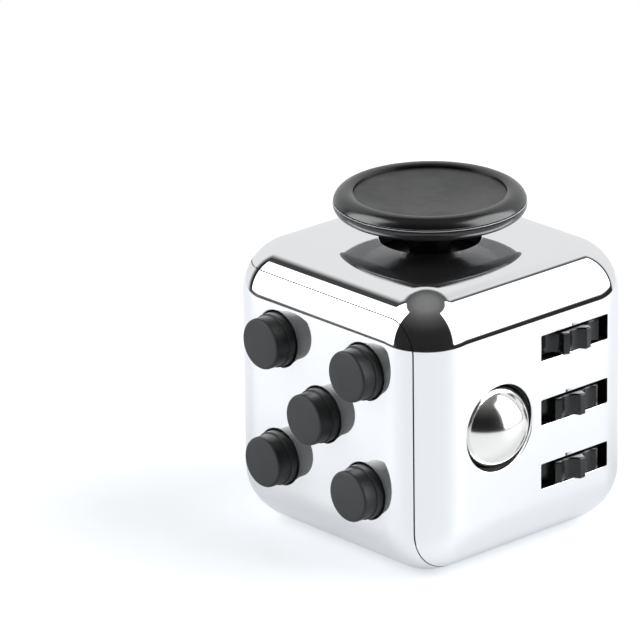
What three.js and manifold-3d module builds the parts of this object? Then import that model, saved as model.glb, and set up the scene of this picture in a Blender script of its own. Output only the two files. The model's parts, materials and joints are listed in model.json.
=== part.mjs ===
// A fidget cube: a chromed case in two halves, with a different thing to play with on each face.
//   front (-Y) five buttons      right (+X) a steel ball and three toothed wheels
//   top   (+Z) a thumb stick     back  (+Y) a dial
//   left  (-X) a rocker          base  (-Z) an oval thumb dish
// Millimetres, +Z up. The origin is the middle of the base, which is the flat face that the cube stands on.

import * as THREE from "three";
import { RoundedBoxGeometry } from "three/addons/geometries/RoundedBoxGeometry.js";
import { mergeVertices } from "three/addons/utils/BufferGeometryUtils.js";
import Module from "manifold-3d";

const wasm = await Module();
wasm.setup();

// ---------------------------------------------------------------------------------------------
// Driving dimensions
// ---------------------------------------------------------------------------------------------

// Case
const SIDE = 33; // face to face
const HALF = SIDE / 2;
const FILLET = 6.3; // every edge and corner of the case
const WALL = 1.8;
const INNER = HALF - WALL; // inner side of a wall, from the cube's centre
const SEAM_INSET = 1; // the joint line runs this far in from the front, left and base faces
const SEAM_GAP = 0.12;
const LAP_EDGE = 12.5; // the rebate of the lap joint starts this far from the cube's centre
const SKIN_TOOTH = 0.5; // how far a boss reaches into the wall that it stands on

// Small parts
const RUN = 0.2; // running gap between pieces that move past each other
const REST = 0.1; // gap between pieces that are fastened together
const PILOT_R = 0.65; // hole that a screw cuts its thread in
const SHANK_R = 0.6;
const CLEAR_R = 0.75; // hole that a screw passes through
const HEAD_R = 1.3;
const HEAD_H = 0.7;
const BOSS_R = 1.5;
const PLATE = 1; // thickness of fastening ears and small plates

// Buttons
const BUTTON_PITCH = 6.95; // from the middle of the face to the four outer buttons, each way
const BUTTON_R = 2.88;
const BUTTON_OUT = 2.6; // height above the face
const COLLAR_R = 3.05; // step at the foot of a button
const COLLAR_OUT = 0.9;
const FLANGE_R = 3.9; // keeps the button inside the case
const BUTTON_HOLE_R = 3.2;
const DOME_R = 3.4;
const SNAP_DISC_R = 1.8;
const BOARD_SIDE = 21;
const BOARD_TOP = 11.3; // outer face of the switch board, from the cube's centre
const BOARD_THICK = 0.9;
const BOARD_SCREW_X = 7;
const GUIDE_SIDE = 22.8;
const GUIDE_GAP = 0.15; // round each flange

// Thumb stick
const CAP_R = 10.75;
const CAP_TOP_R = 1.5; // section radius of the cap's round rim above its widest part
const CAP_UNDER_R = 1.1; // and below it
const CAP_WIDEST_HEIGHT = 4.05; // above the top face
const CAP_SPLIT_HEIGHT = 4.4; // joint line between ring and base
const CAP_LINE = 0.1; // width of that joint line
const PAD_R = 8.42;
const PAD_HEIGHT = 5.1; // edge of the pad above the top face
const PAD_DISH = 0.35; // further drop at its middle
const PAD_FOOT = 3.8;
const SKIRT_R = 9; // the ring's skirt, which sits in the base beside the pad
const STEM_R = 2.3;
const STICK_HOLE_R = 5.65;
const STICK_TRAVEL = 1.5; // each way, on each of two crossed slides
const GLIDE_DISC_R = 7.8;
const GLIDE_HOUSING_R = 10.95;
const GLIDE_HOUSING_WALL = 0.9;
const GLIDE_SCREW_X = 12.5;

// Wheels
const WHEEL_X = 11.7; // shaft, from the cube's centre
const WHEEL_Y = 6.1;
const WHEEL_R = 6;
const WHEEL_PITCH = 7.5; // from one wheel to the next
const WHEEL_THICK = 2.5;
const TOOTH_COUNT = 12;
const TOOTH_DEPTH = 0.85;
const TOOTH_LAND = 7; // degrees of a tooth's narrow tip
const TOOTH_STEPS = 5; // outline steps across each valley
const TOOTH_PHASES = [10, 1, 1]; // degrees that each wheel stands turned by, from the top down
const SHAFT_R = 1.25;
const SLOT_HEIGHT = 2.9;
const SLOT_LENGTH = 10.2;
const SLOT_WALL = 1.2; // the wall is thinner round the slots, to clear the wheels

// Ball
const BALL_R = 4.85;
const BALL_Y = -5.3;
const BALL_Z = 14; // centre of the ball, from the cube's centre towards the face
const BALL_MOUTH_R = 4.95; // the hole at the face
const BALL_LIP_R = 4.7; // narrowest part of the hole, which keeps the ball in
const BALL_LIP_DEPTH = 0.8;

// Rocker
const ROCKER_PIVOT = 13.4; // pin, from the cube's centre
const ROCKER_R = 6.9; // round ends of the rocker, about the pin
const ROCKER_WIDTH = 7;
const ROCKER_TILT = 12; // degrees each way from level
const ROCKER_OUT = BALL_Z + BALL_R - HALF; // as proud of its face as the ball is of the opposite one
const ROCKER_NOSE = 3.1; // below the pin
const ROCKER_SADDLE = 0.7; // depth of the hollow between its ends

// Dial
const DIAL_R = 9.2;
const DIAL_OUT = BUTTON_OUT; // as proud of its face as the buttons are of the opposite one
const DIAL_RECESS_R = 9.5;
const DIAL_RECESS = 0.5;
const HUB_R = 2.4;

// Thumb dish in the base
const DISH_LONG = 8.5; // half length
const DISH_SHORT = 5.5; // half width
const BASE_DISH_DEPTH = 1.4;

// Fineness of round shapes
const FILLET_STEPS = 3; // for each eighth of a turn
const FINE = 28;
const MEDIUM = 16;
const COARSE = 10;

// ---------------------------------------------------------------------------------------------
// Solid modelling
// ---------------------------------------------------------------------------------------------

const WELD = 1e-4; // vertices closer than this are one

function toManifold(geometry) {
  const bare = geometry.clone();
  bare.deleteAttribute("normal");
  bare.deleteAttribute("uv");
  const welded = mergeVertices(bare, WELD);
  const vertProperties = new Float32Array(welded.attributes.position.array);
  const triVerts = new Uint32Array(welded.index.array);
  return new wasm.Manifold(new wasm.Mesh({ numProp: 3, vertProperties, triVerts }));
}

function toGeometry(manifold) {
  const mesh = manifold.getMesh();
  const geometry = new THREE.BufferGeometry();
  geometry.setAttribute("position", new THREE.BufferAttribute(mesh.vertProperties, 3));
  geometry.setIndex(new THREE.BufferAttribute(mesh.triVerts, 1));
  geometry.computeVertexNormals();
  return geometry;
}

function join(first, ...others) {
  let result = toManifold(first);
  for (const other of others) {
    result = result.add(toManifold(other));
  }
  return toGeometry(result);
}

function cut(first, ...tools) {
  let result = toManifold(first);
  for (const tool of tools) {
    result = result.subtract(toManifold(tool));
  }
  return toGeometry(result);
}

function keep(first, ...limits) {
  let result = toManifold(first);
  for (const limit of limits) {
    result = result.intersect(toManifold(limit));
  }
  return toGeometry(result);
}

function block(x0, x1, y0, y1, z0, z1) {
  const box = new THREE.BoxGeometry(x1 - x0, y1 - y0, z1 - z0);
  return box.translate((x0 + x1) / 2, (y0 + y1) / 2, (z0 + z1) / 2);
}

// A round bar along Z, from z0 to z1.
function rod(radius, z0, z1, segments = COARSE) {
  const cylinder = new THREE.CylinderGeometry(radius, radius, z1 - z0, segments);
  return cylinder.rotateX(Math.PI / 2).translate(0, 0, (z0 + z1) / 2);
}

// A profile of [radius, z] points turned about Z. It runs up its outer side and down its inner side.
function turned(profile, segments = MEDIUM) {
  const points = profile.map(([radius, z]) => new THREE.Vector2(radius, z));
  return new THREE.LatheGeometry(points, segments).rotateX(Math.PI / 2);
}

// A tube about Z.
function ring(innerR, outerR, z0, z1, segments = MEDIUM) {
  const profile = [[innerR, z0], [outerR, z0], [outerR, z1], [innerR, z1], [innerR, z0]];
  return turned(profile, segments);
}

function outline(points) {
  return new THREE.Shape(points.map(([x, y]) => new THREE.Vector2(x, y)));
}

// A flat outline in XY made solid from z0 to z1.
function slab(shape, z0, z1) {
  const geometry = new THREE.ExtrudeGeometry(shape, { depth: z1 - z0, bevelEnabled: false });
  return geometry.translate(0, 0, z0);
}

// A flat outline whose x and y are taken as Y and Z, made solid from -halfWidth to halfWidth along X.
function slabAcross(shape, halfWidth) {
  const turn = new THREE.Matrix4().set(0, 0, 1, 0, 1, 0, 0, 0, 0, 1, 0, 0, 0, 0, 0, 1);
  return slab(shape, -halfWidth, halfWidth).applyMatrix4(turn);
}

function roundedPlate(sideX, sideY, corner, z0, z1) {
  const x = sideX / 2;
  const y = sideY / 2;
  const shape = new THREE.Shape();
  shape.absarc(x - corner, y - corner, corner, 0, Math.PI / 2);
  shape.absarc(corner - x, y - corner, corner, Math.PI / 2, Math.PI);
  shape.absarc(corner - x, corner - y, corner, Math.PI, 1.5 * Math.PI);
  shape.absarc(x - corner, corner - y, corner, 1.5 * Math.PI, 2 * Math.PI);
  const options = { depth: z1 - z0, bevelEnabled: false, curveSegments: 3 };
  const geometry = new THREE.ExtrudeGeometry(shape, options);
  return geometry.translate(0, 0, z0);
}

function roundedCube(low, high, radius) {
  const side = high - low;
  const middle = (low + high) / 2;
  return new RoundedBoxGeometry(side, side, side, FILLET_STEPS, radius).translate(middle, middle, middle);
}

// ---------------------------------------------------------------------------------------------
// The six faces. In a face's own frame Z points out of the cube, X runs across the face and
// the cube's centre is the origin, so the face itself lies at z = HALF.
// ---------------------------------------------------------------------------------------------

function faceFrame(across, along, outward) {
  const [x, y, z] = [across, along, outward].map((axis) => new THREE.Vector3(...axis));
  return new THREE.Matrix4().makeBasis(x, y, z);
}

const FRONT = faceFrame([1, 0, 0], [0, 0, 1], [0, -1, 0]);
const RIGHT = faceFrame([0, 1, 0], [0, 0, 1], [1, 0, 0]);
const BACK = faceFrame([-1, 0, 0], [0, 0, 1], [0, 1, 0]);
const LEFT = faceFrame([0, -1, 0], [0, 0, 1], [-1, 0, 0]);
const BASE = faceFrame([1, 0, 0], [0, -1, 0], [0, 0, -1]);

function onFace(frame, geometry) {
  return geometry.clone().applyMatrix4(frame);
}

const cube = new THREE.Group();
cube.position.z = HALF;

function faceGroup(frame) {
  const group = new THREE.Group();
  group.quaternion.setFromRotationMatrix(frame);
  cube.add(group);
  return group;
}

const frontFace = faceGroup(FRONT);
const rightFace = faceGroup(RIGHT);
const backFace = faceGroup(BACK);
const leftFace = faceGroup(LEFT);

// ---------------------------------------------------------------------------------------------
// Materials
// ---------------------------------------------------------------------------------------------

function finish(color, roughness, metalness) {
  return new THREE.MeshStandardMaterial({ color, roughness, metalness });
}

const chrome = finish(0xe8eaee, 0.05, 1);
const glossBlack = finish(0x141415, 0.25, 0);
const mattBlack = finish(0x242628, 0.7, 0);
const charcoal = finish(0x464648, 0.6, 0);
const rubber = finish(0x3c3f42, 0.8, 0);
const silicone = finish(0xc9ccce, 0.5, 0);
const nylon = finish(0xd8d6cc, 0.5, 0);
const steel = finish(0xb4b6ba, 0.25, 1);
const polishedSteel = finish(0xdcdcdc, 0.08, 1);
const springSteel = finish(0x9a9ca0, 0.3, 1);
const laminate = finish(0x6b5a34, 0.7, 0);
const felt = finish(0x5c5a56, 0.95, 0);

function place(parent, name, geometry, material, position = [0, 0, 0]) {
  const mesh = new THREE.Mesh(geometry, material);
  mesh.name = name;
  mesh.position.set(...position);
  parent.add(mesh);
  return mesh;
}

// A slotted cheese-head screw pointing along +Z. Its head lies below z = 0 and its shank above.
function screw(shankLength) {
  const body = turned([
    [0, -HEAD_H],
    [HEAD_R, -HEAD_H],
    [HEAD_R, 0],
    [SHANK_R, 0],
    [SHANK_R, shankLength],
    [0, shankLength],
  ], COARSE);
  const slotHalf = 0.2;
  const slotDeep = 0.3;
  const slot = block(-2 * HEAD_R, 2 * HEAD_R, -slotHalf, slotHalf, -2 * HEAD_H, slotDeep - HEAD_H);
  return cut(body, slot);
}

// ---------------------------------------------------------------------------------------------
// Layout of the mechanisms, measured from the cube's centre along each face's own Z
// ---------------------------------------------------------------------------------------------

const BUTTON_GRID = [[-1, 1], [1, 1], [0, 0], [-1, -1], [1, -1]];
const BUTTONS = BUTTON_GRID.map(([x, y]) => [x * BUTTON_PITCH, y * BUTTON_PITCH]);
const WHEEL_HEIGHTS = [WHEEL_PITCH, 0, -WHEEL_PITCH];

const GLIDE_EAR_TOP = 12.1;
const GLIDE_BOSS_FOOT = GLIDE_EAR_TOP + REST;
const GLIDE_SCREW_TIP = 13.9;

const CRADLE_PLATE_Y = [12.2, 13.4];
const CRADLE_SCREW_X = 8.6;
const CRADLE_SCREW_Z = WHEEL_PITCH / 2;
const CRADLE_SCREW_TIP = 15.2;

const EAR_TOP = 13.6; // ears of the ball bracket and of the rocker housing
const EAR_SCREW_TIP = 15.2;
const BRACKET_SCREW_Y = 9;
const ROCKER_SCREW_X = 6.8;

// ---------------------------------------------------------------------------------------------
// Case
// ---------------------------------------------------------------------------------------------

// A boss on the inner side of a wall, from foot up into the wall, and the pilot hole for its screw.
function boss(x, y, foot) {
  return rod(BOSS_R, foot, INNER + SKIN_TOOTH).translate(x, y, 0);
}

function pilotHole(x, y, foot, tip) {
  return rod(PILOT_R, foot - 1, tip + RUN).translate(x, y, 0);
}

function caseWall() {
  return cut(roundedCube(-HALF, HALF, FILLET), roundedCube(-INNER, INNER, FILLET - WALL));
}

// The space inside the joint surface. It runs on past the top, right and back faces.
function insideSeam(inset) {
  return roundedCube(inset - HALF, SIDE, FILLET - inset);
}

function lapBlock(edge) {
  return block(-SIDE, edge, -SIDE, edge, -SIDE, edge);
}

// An ellipsoid that meets the base face in the dish's oval outline, grown all round by extra.
function dishEllipsoid(extra) {
  const semiHeight = 5;
  const centreDepth = semiHeight - BASE_DISH_DEPTH;
  const spread = Math.sqrt(1 - (centreDepth / semiHeight) ** 2);
  const sphere = new THREE.SphereGeometry(1, FINE, MEDIUM).rotateX(Math.PI / 2);
  sphere.scale(DISH_LONG / spread + extra, DISH_SHORT / spread + extra, semiHeight + extra);
  return sphere.translate(0, 0, HALF + centreDepth);
}

function clickSideShell() {
  const edge = cut(insideSeam(SEAM_INSET), lapBlock(LAP_EDGE));
  const wall = cut(caseWall(), edge);
  const outside = roundedCube(-HALF, HALF, FILLET);

  const additions = [keep(onFace(BASE, dishEllipsoid(WALL - SKIN_TOOTH)), outside)];
  const holes = [onFace(BASE, dishEllipsoid(0))];
  for (const x of [-BOARD_SCREW_X, BOARD_SCREW_X]) {
    additions.push(onFace(FRONT, boss(x, 0, BOARD_TOP)));
    holes.push(onFace(FRONT, pilotHole(x, 0, BOARD_TOP, EAR_SCREW_TIP)));
  }
  for (const x of [-ROCKER_SCREW_X, ROCKER_SCREW_X]) {
    additions.push(onFace(LEFT, boss(x, 0, EAR_TOP + REST)));
    holes.push(onFace(LEFT, pilotHole(x, 0, EAR_TOP, EAR_SCREW_TIP)));
  }
  for (const [x, y] of BUTTONS) {
    holes.push(onFace(FRONT, rod(BUTTON_HOLE_R, INNER - 1, HALF + 1, MEDIUM).translate(x, y, 0)));
  }
  const rockerX = ROCKER_WIDTH / 2 + REST;
  const rockerY = ROCKER_R + REST;
  holes.push(onFace(LEFT, block(-rockerX, rockerX, -rockerY, rockerY, INNER - 1, HALF + 1)));
  return cut(join(wall, ...additions), ...holes);
}

// The hole that the ball shows through: a straight mouth, a narrower lip and a wider back.
function ballHole() {
  const lip = HALF - BALL_LIP_DEPTH;
  const backR = BALL_R + RUN;
  const edge = REST;
  return turned([
    [0, INNER - 1],
    [backR, INNER - 1],
    [backR, INNER + RUN],
    [BALL_LIP_R, lip - RUN],
    [BALL_LIP_R, lip],
    [BALL_MOUTH_R, lip + RUN],
    [BALL_MOUTH_R, HALF - edge],
    [BALL_MOUTH_R + edge, HALF],
    [BALL_MOUTH_R + edge, HALF + 1],
    [0, HALF + 1],
  ], FINE).translate(BALL_Y, 0, 0);
}

function rollSideShell() {
  const lip = keep(caseWall(), insideSeam(SEAM_INSET + SEAM_GAP));
  const wall = cut(lip, lapBlock(LAP_EDGE + SEAM_GAP));
  const outside = roundedCube(-HALF, HALF, FILLET);

  const additions = [];
  const holes = [rod(STICK_HOLE_R, INNER - 1, HALF + 1, FINE), onFace(RIGHT, ballHole())];
  for (const x of [-GLIDE_SCREW_X, GLIDE_SCREW_X]) {
    additions.push(keep(boss(x, 0, GLIDE_BOSS_FOOT), outside));
    holes.push(pilotHole(x, 0, GLIDE_EAR_TOP, GLIDE_SCREW_TIP));
  }
  for (const z of [-CRADLE_SCREW_Z, CRADLE_SCREW_Z]) {
    additions.push(onFace(BACK, boss(-CRADLE_SCREW_X, z, CRADLE_PLATE_Y[1] + REST)));
    holes.push(onFace(BACK, pilotHole(-CRADLE_SCREW_X, z, CRADLE_PLATE_Y[1], CRADLE_SCREW_TIP)));
  }
  for (const y of [-BRACKET_SCREW_Y, BRACKET_SCREW_Y]) {
    additions.push(onFace(RIGHT, boss(BALL_Y, y, EAR_TOP + REST)));
    holes.push(onFace(RIGHT, pilotHole(BALL_Y, y, EAR_TOP, EAR_SCREW_TIP)));
  }
  const slotHalf = SLOT_LENGTH / 2;
  for (const z of WHEEL_HEIGHTS) {
    const slot = block(INNER - 1, HALF + 1, -slotHalf, slotHalf, -SLOT_HEIGHT / 2, SLOT_HEIGHT / 2);
    const reliefY = slotHalf + 0.5;
    const reliefZ = WHEEL_THICK / 2 + 2 * RUN;
    const relief = block(INNER - 1, HALF - SLOT_WALL, -reliefY, reliefY, -reliefZ, reliefZ);
    holes.push(slot.translate(0, WHEEL_Y, z), relief.translate(0, WHEEL_Y, z));
  }
  holes.push(onFace(BACK, rod(DIAL_RECESS_R, HALF - DIAL_RECESS, HALF + 1, FINE)));
  holes.push(onFace(BACK, rod(HUB_R + RUN, INNER - 1, HALF + 1, MEDIUM)));
  return cut(join(wall, ...additions), ...holes);
}

place(cube, "click_side_shell", clickSideShell(), chrome);
place(cube, "roll_side_shell", rollSideShell(), chrome);

// ---------------------------------------------------------------------------------------------
// Front face: five buttons on silicone domes, in front of one switch board
// ---------------------------------------------------------------------------------------------

const FLANGE_TOP = INNER - 0.3;
const FLANGE_THICK = 0.7;
const STUB_R = 1.5;
const STUB_END = FLANGE_TOP - 2 * FLANGE_THICK;
const DOME_TOP = STUB_END - REST;
const DOME_WALL = 0.4;
const DOME_FOOT = BOARD_TOP + 0.05;

function button() {
  const top = HALF + BUTTON_OUT;
  const edge = 0.35;
  return turned([
    [0, STUB_END],
    [STUB_R, STUB_END],
    [STUB_R, FLANGE_TOP - FLANGE_THICK],
    [FLANGE_R, FLANGE_TOP - FLANGE_THICK],
    [FLANGE_R, FLANGE_TOP],
    [COLLAR_R, FLANGE_TOP],
    [COLLAR_R, HALF + COLLAR_OUT],
    [BUTTON_R, HALF + COLLAR_OUT],
    [BUTTON_R, top - edge],
    [BUTTON_R - edge / 3, top - edge / 3],
    [BUTTON_R - edge, top],
    [0, top],
  ]);
}

// A hollow cone that folds when the button's stub pushes on it, open below.
function dome() {
  const neck = STUB_R + 0.2;
  return turned([
    [0, DOME_TOP - DOME_WALL],
    [neck - DOME_WALL, DOME_TOP - DOME_WALL],
    [DOME_R - 3 * DOME_WALL, DOME_FOOT],
    [DOME_R, DOME_FOOT],
    [DOME_R, DOME_FOOT + DOME_WALL],
    [DOME_R - 2 * DOME_WALL, DOME_FOOT + DOME_WALL],
    [neck, DOME_TOP],
    [0, DOME_TOP],
  ], COARSE);
}

// A dished steel disc that snaps flat with a click.
function snapDisc() {
  const thick = 0.15;
  const crown = 0.15;
  return turned([
    [0, DOME_FOOT + crown],
    [SNAP_DISC_R, DOME_FOOT],
    [SNAP_DISC_R, DOME_FOOT + thick],
    [0, DOME_FOOT + crown + thick],
  ], COARSE);
}

function switchBoard() {
  const bottom = BOARD_TOP - BOARD_THICK;
  const board = roundedPlate(BOARD_SIDE, BOARD_SIDE, 2, bottom, BOARD_TOP - REST / 2);
  const screwHole = rod(CLEAR_R, bottom - 1, BOARD_TOP + 1);
  const holes = [-BOARD_SCREW_X, BOARD_SCREW_X].map((x) => screwHole.clone().translate(x, 0, 0));
  return cut(board, ...holes);
}

// The block that the button flanges slide in. The case's two bosses pass through it.
function buttonGuide() {
  const foot = BOARD_TOP + REST;
  const top = FLANGE_TOP - RUN;
  const flangeHole = rod(FLANGE_R + GUIDE_GAP, foot - 1, top + 1, MEDIUM);
  const holes = BUTTONS.map(([x, y]) => flangeHole.clone().translate(x, y, 0));
  for (const x of [-BOARD_SCREW_X, BOARD_SCREW_X]) {
    holes.push(rod(BOSS_R + GUIDE_GAP, foot - 1, top + 1).translate(x, 0, 0));
  }
  return cut(roundedPlate(GUIDE_SIDE, GUIDE_SIDE, 3, foot, top), ...holes);
}

BUTTONS.forEach(([x, y], index) => {
  place(frontFace, `button_${index + 1}`, button(), rubber, [x, y, 0]);
  place(frontFace, `dome_${index + 1}`, dome(), silicone, [x, y, 0]);
});
// The two upper buttons and the middle one click; the two lower ones are silent.
BUTTONS.slice(0, 3).forEach(([x, y], index) => {
  place(frontFace, `snap_disc_${index + 1}`, snapDisc(), springSteel, [x, y, 0]);
});
place(frontFace, "switch_board", switchBoard(), laminate);
place(frontFace, "button_guide", buttonGuide(), mattBlack);
[-BOARD_SCREW_X, BOARD_SCREW_X].forEach((x, index) => {
  const seat = BOARD_TOP - BOARD_THICK - REST;
  place(frontFace, `board_screw_${index + 1}`, screw(EAR_SCREW_TIP - seat), steel, [x, 0, seat]);
});

// ---------------------------------------------------------------------------------------------
// Top face: a thumb stick on two crossed slides
// ---------------------------------------------------------------------------------------------

const WIDEST_Z = HALF + CAP_WIDEST_HEIGHT;
const SPLIT_Z = HALF + CAP_SPLIT_HEIGHT;
const SKIRT_GAP = 0.05; // round the skirt and under the pad
const CAP_FLOOR = HALF + PAD_FOOT - SKIRT_GAP; // floor of the recess in the base
const DISC_TOP = 14.5;
const DISC_BOTTOM = 13.5;
const RAIL_HALF = 1.9;
const RAIL_DROP = 0.7; // height of the rail under the sliding disc
const STEM_PILOT_TOP = 2; // above the top face
const STEM_SCREW_TOP = 1.5;
const CARRIAGE_TOP = DISC_BOTTOM - RUN;
const CARRIAGE_BOTTOM = 12;
const CARRIAGE_R = 7.4;
const CARRIAGE_RAIL_BOTTOM = 11.1;
const CARRIAGE_RAIL_LENGTH = 11;
const HOUSING_FLOOR_TOP = CARRIAGE_BOTTOM - RUN;
const HOUSING_BOTTOM = 10.7;
const HOUSING_TOP = INNER - 0.3;

// Points of the cap's round rim from one angle to another, in degrees from outward horizontal.
function rimArc(sectionR, from, to, steps) {
  const points = [];
  for (let i = 0; i <= steps; i += 1) {
    const angle = THREE.MathUtils.degToRad(from + ((to - from) * i) / steps);
    points.push([CAP_R - sectionR + sectionR * Math.cos(angle), WIDEST_Z + sectionR * Math.sin(angle)]);
  }
  return points;
}

// The angle at which the upper part of the rim passes a given height.
function rimAngle(z) {
  return THREE.MathUtils.radToDeg(Math.asin((z - WIDEST_Z) / CAP_TOP_R));
}

// The round upper part of the rim, with a skirt that sits in the base.
function thumbRing() {
  const line = SPLIT_Z + CAP_LINE / 2;
  const foot = HALF + PAD_FOOT;
  const inner = PAD_R + SKIRT_GAP;
  const innerAngle = THREE.MathUtils.radToDeg(Math.acos((inner - CAP_R + CAP_TOP_R) / CAP_TOP_R));
  return turned([
    [inner, foot],
    [SKIRT_R, foot],
    [SKIRT_R, line],
    ...rimArc(CAP_TOP_R, rimAngle(line), innerAngle, 7),
    [inner, foot],
  ], FINE);
}

function thumbPad() {
  const foot = HALF + PAD_FOOT;
  const edge = HALF + PAD_HEIGHT;
  const profile = [[0, foot], [PAD_R, foot]];
  const steps = 4;
  for (let i = 0; i <= steps; i += 1) {
    const share = 1 - i / steps;
    profile.push([PAD_R * share, edge - PAD_DISH * (1 - share ** 2)]);
  }
  return turned(profile, FINE);
}

function thumbBase() {
  const foot = DISC_TOP + REST;
  const rim = SPLIT_Z - CAP_LINE / 2;
  const flare = { bottom: HALF + 1.1, middle: HALF + 2.1, top: HALF + 2.9 };
  const body = turned([
    [0, foot],
    [STEM_R, foot],
    [STEM_R, flare.bottom],
    [STEM_R + 1, flare.middle],
    [PAD_R - 1, flare.top],
    ...rimArc(CAP_UNDER_R, -90, 0, 3),
    rimArc(CAP_TOP_R, 0, rimAngle(rim), 1)[1],
    [SKIRT_R + SKIRT_GAP, rim],
    [SKIRT_R + SKIRT_GAP, CAP_FLOOR],
    [0, CAP_FLOOR],
  ], FINE);
  return cut(body, rod(PILOT_R, foot - 1, HALF + STEM_PILOT_TOP));
}

const STEM_SCREW_RECESS = 0.8;
const RAIL_LENGTH = 12; // rail under the sliding disc
const GLIDE_EAR_THICK = 1.2;

function glideDisc() {
  const railBottom = DISC_BOTTOM - RAIL_DROP;
  const disc = rod(GLIDE_DISC_R, DISC_BOTTOM, DISC_TOP, FINE);
  const rail = block(-RAIL_HALF, RAIL_HALF, -RAIL_LENGTH / 2, RAIL_LENGTH / 2, railBottom, DISC_TOP - REST);
  const hole = rod(CLEAR_R, railBottom - 1, DISC_TOP + 1);
  const recess = rod(HEAD_R + REST, railBottom - 1, railBottom + STEM_SCREW_RECESS);
  return cut(join(disc, rail), hole, recess);
}

function glideCarriage() {
  const groove = RAIL_HALF + RUN;
  const grooveBottom = DISC_BOTTOM - RAIL_DROP - RUN;
  const disc = rod(CARRIAGE_R, CARRIAGE_BOTTOM, CARRIAGE_TOP, FINE);
  const half = CARRIAGE_RAIL_LENGTH / 2;
  const rail = block(-half, half, -RAIL_HALF, RAIL_HALF, CARRIAGE_RAIL_BOTTOM, CARRIAGE_BOTTOM + REST);
  return cut(join(disc, rail), block(-groove, groove, -SIDE, SIDE, grooveBottom, SIDE));
}

function glideHousing() {
  const cup = rod(GLIDE_HOUSING_R, HOUSING_BOTTOM, HOUSING_TOP, FINE);
  const hollow = rod(GLIDE_HOUSING_R - GLIDE_HOUSING_WALL, HOUSING_FLOOR_TOP, HOUSING_TOP + 1, FINE);
  const slotX = CARRIAGE_RAIL_LENGTH / 2 + STICK_TRAVEL + RUN;
  const slotY = RAIL_HALF + RUN;
  const slot = block(-slotX, slotX, -slotY, slotY, HOUSING_BOTTOM - 1, HOUSING_FLOOR_TOP + 1);
  const ears = [];
  const holes = [hollow, slot];
  const earBottom = GLIDE_EAR_TOP - GLIDE_EAR_THICK;
  for (const side of [-1, 1]) {
    const x = side * GLIDE_SCREW_X;
    const root = side * (GLIDE_HOUSING_R - GLIDE_HOUSING_WALL / 2);
    ears.push(rod(BOSS_R, earBottom, GLIDE_EAR_TOP).translate(x, 0, 0));
    ears.push(block(Math.min(x, root), Math.max(x, root), -BOSS_R, BOSS_R, earBottom, GLIDE_EAR_TOP));
    holes.push(rod(CLEAR_R, earBottom - 1, GLIDE_EAR_TOP + 1).translate(x, 0, 0));
  }
  return cut(join(cup, ...ears), ...holes);
}

place(cube, "thumb_ring", thumbRing(), glossBlack);
place(cube, "thumb_pad", thumbPad(), charcoal);
place(cube, "thumb_base", thumbBase(), glossBlack);
place(cube, "glide_disc", glideDisc(), mattBlack);
place(cube, "glide_carriage", glideCarriage(), nylon);
place(cube, "glide_housing", glideHousing(), mattBlack);

const centringInner = GLIDE_DISC_R + RUN;
const centringOuter = GLIDE_HOUSING_R - GLIDE_HOUSING_WALL - RUN;
const centringRing = ring(centringInner, centringOuter, DISC_BOTTOM, DISC_TOP - RUN, FINE);
place(cube, "glide_centring_ring", centringRing, silicone);

const stemScrewSeat = DISC_BOTTOM - RAIL_DROP + STEM_SCREW_RECESS - REST;
place(cube, "stem_screw", screw(HALF + STEM_SCREW_TOP - stemScrewSeat), steel, [0, 0, stemScrewSeat]);
[-GLIDE_SCREW_X, GLIDE_SCREW_X].forEach((x, index) => {
  const seat = GLIDE_EAR_TOP - GLIDE_EAR_THICK - REST;
  place(cube, `glide_screw_${index + 1}`, screw(GLIDE_SCREW_TIP - seat), steel, [x, 0, seat]);
});

// ---------------------------------------------------------------------------------------------
// Right face: three toothed wheels on one upright shaft, in a cradle that is screwed to the back wall
// ---------------------------------------------------------------------------------------------

const ARM_LOW = 9.2;
const ARM_HIGH = 10.4;
const CRADLE_BACK_X = [3.9, 5.1];
const CRADLE_END_X = 12.4;
const CRADLE_SIDE_Y = 1; // the plate behind the wheels starts here
const ARM_Y = 3.9; // its two arms start here
const ARM_EYE_R = 2.2; // round end of an arm, about the shaft
const SPACER_R = 2.3;
const LEAF_THICK = 0.2;
const LEAF_HALF = 0.9;
const LEAF_ENDS_Y = [1.6, 11];
const BORE_R = SHAFT_R + 0.08;

// Narrow teeth with scooped valleys. Each valley is one arc from tooth to tooth.
function wheel(phase) {
  const pitch = (2 * Math.PI) / TOOTH_COUNT;
  const halfValley = pitch / 2 - THREE.MathUtils.degToRad(TOOTH_LAND / 2);
  const halfChord = WHEEL_R * Math.sin(halfValley);
  const sag = WHEEL_R * Math.cos(halfValley) - (WHEEL_R - TOOTH_DEPTH);
  const scoopR = (halfChord ** 2 + sag ** 2) / (2 * sag);
  const scoopMiddle = WHEEL_R - TOOTH_DEPTH + scoopR;
  const reach = Math.asin(halfChord / scoopR);
  const points = [];
  for (let tooth = 0; tooth < TOOTH_COUNT; tooth += 1) {
    const turn = THREE.MathUtils.degToRad(phase) + pitch * (tooth + 0.5);
    for (let i = 0; i <= TOOTH_STEPS; i += 1) {
      const angle = Math.PI + reach - (2 * reach * i) / TOOTH_STEPS;
      const x = scoopMiddle + scoopR * Math.cos(angle);
      const y = scoopR * Math.sin(angle);
      points.push([x * Math.cos(turn) - y * Math.sin(turn), x * Math.sin(turn) + y * Math.cos(turn)]);
    }
  }
  const body = slab(outline(points), -WHEEL_THICK / 2, WHEEL_THICK / 2);
  return cut(body, rod(BORE_R, -WHEEL_THICK, WHEEL_THICK));
}

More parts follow.
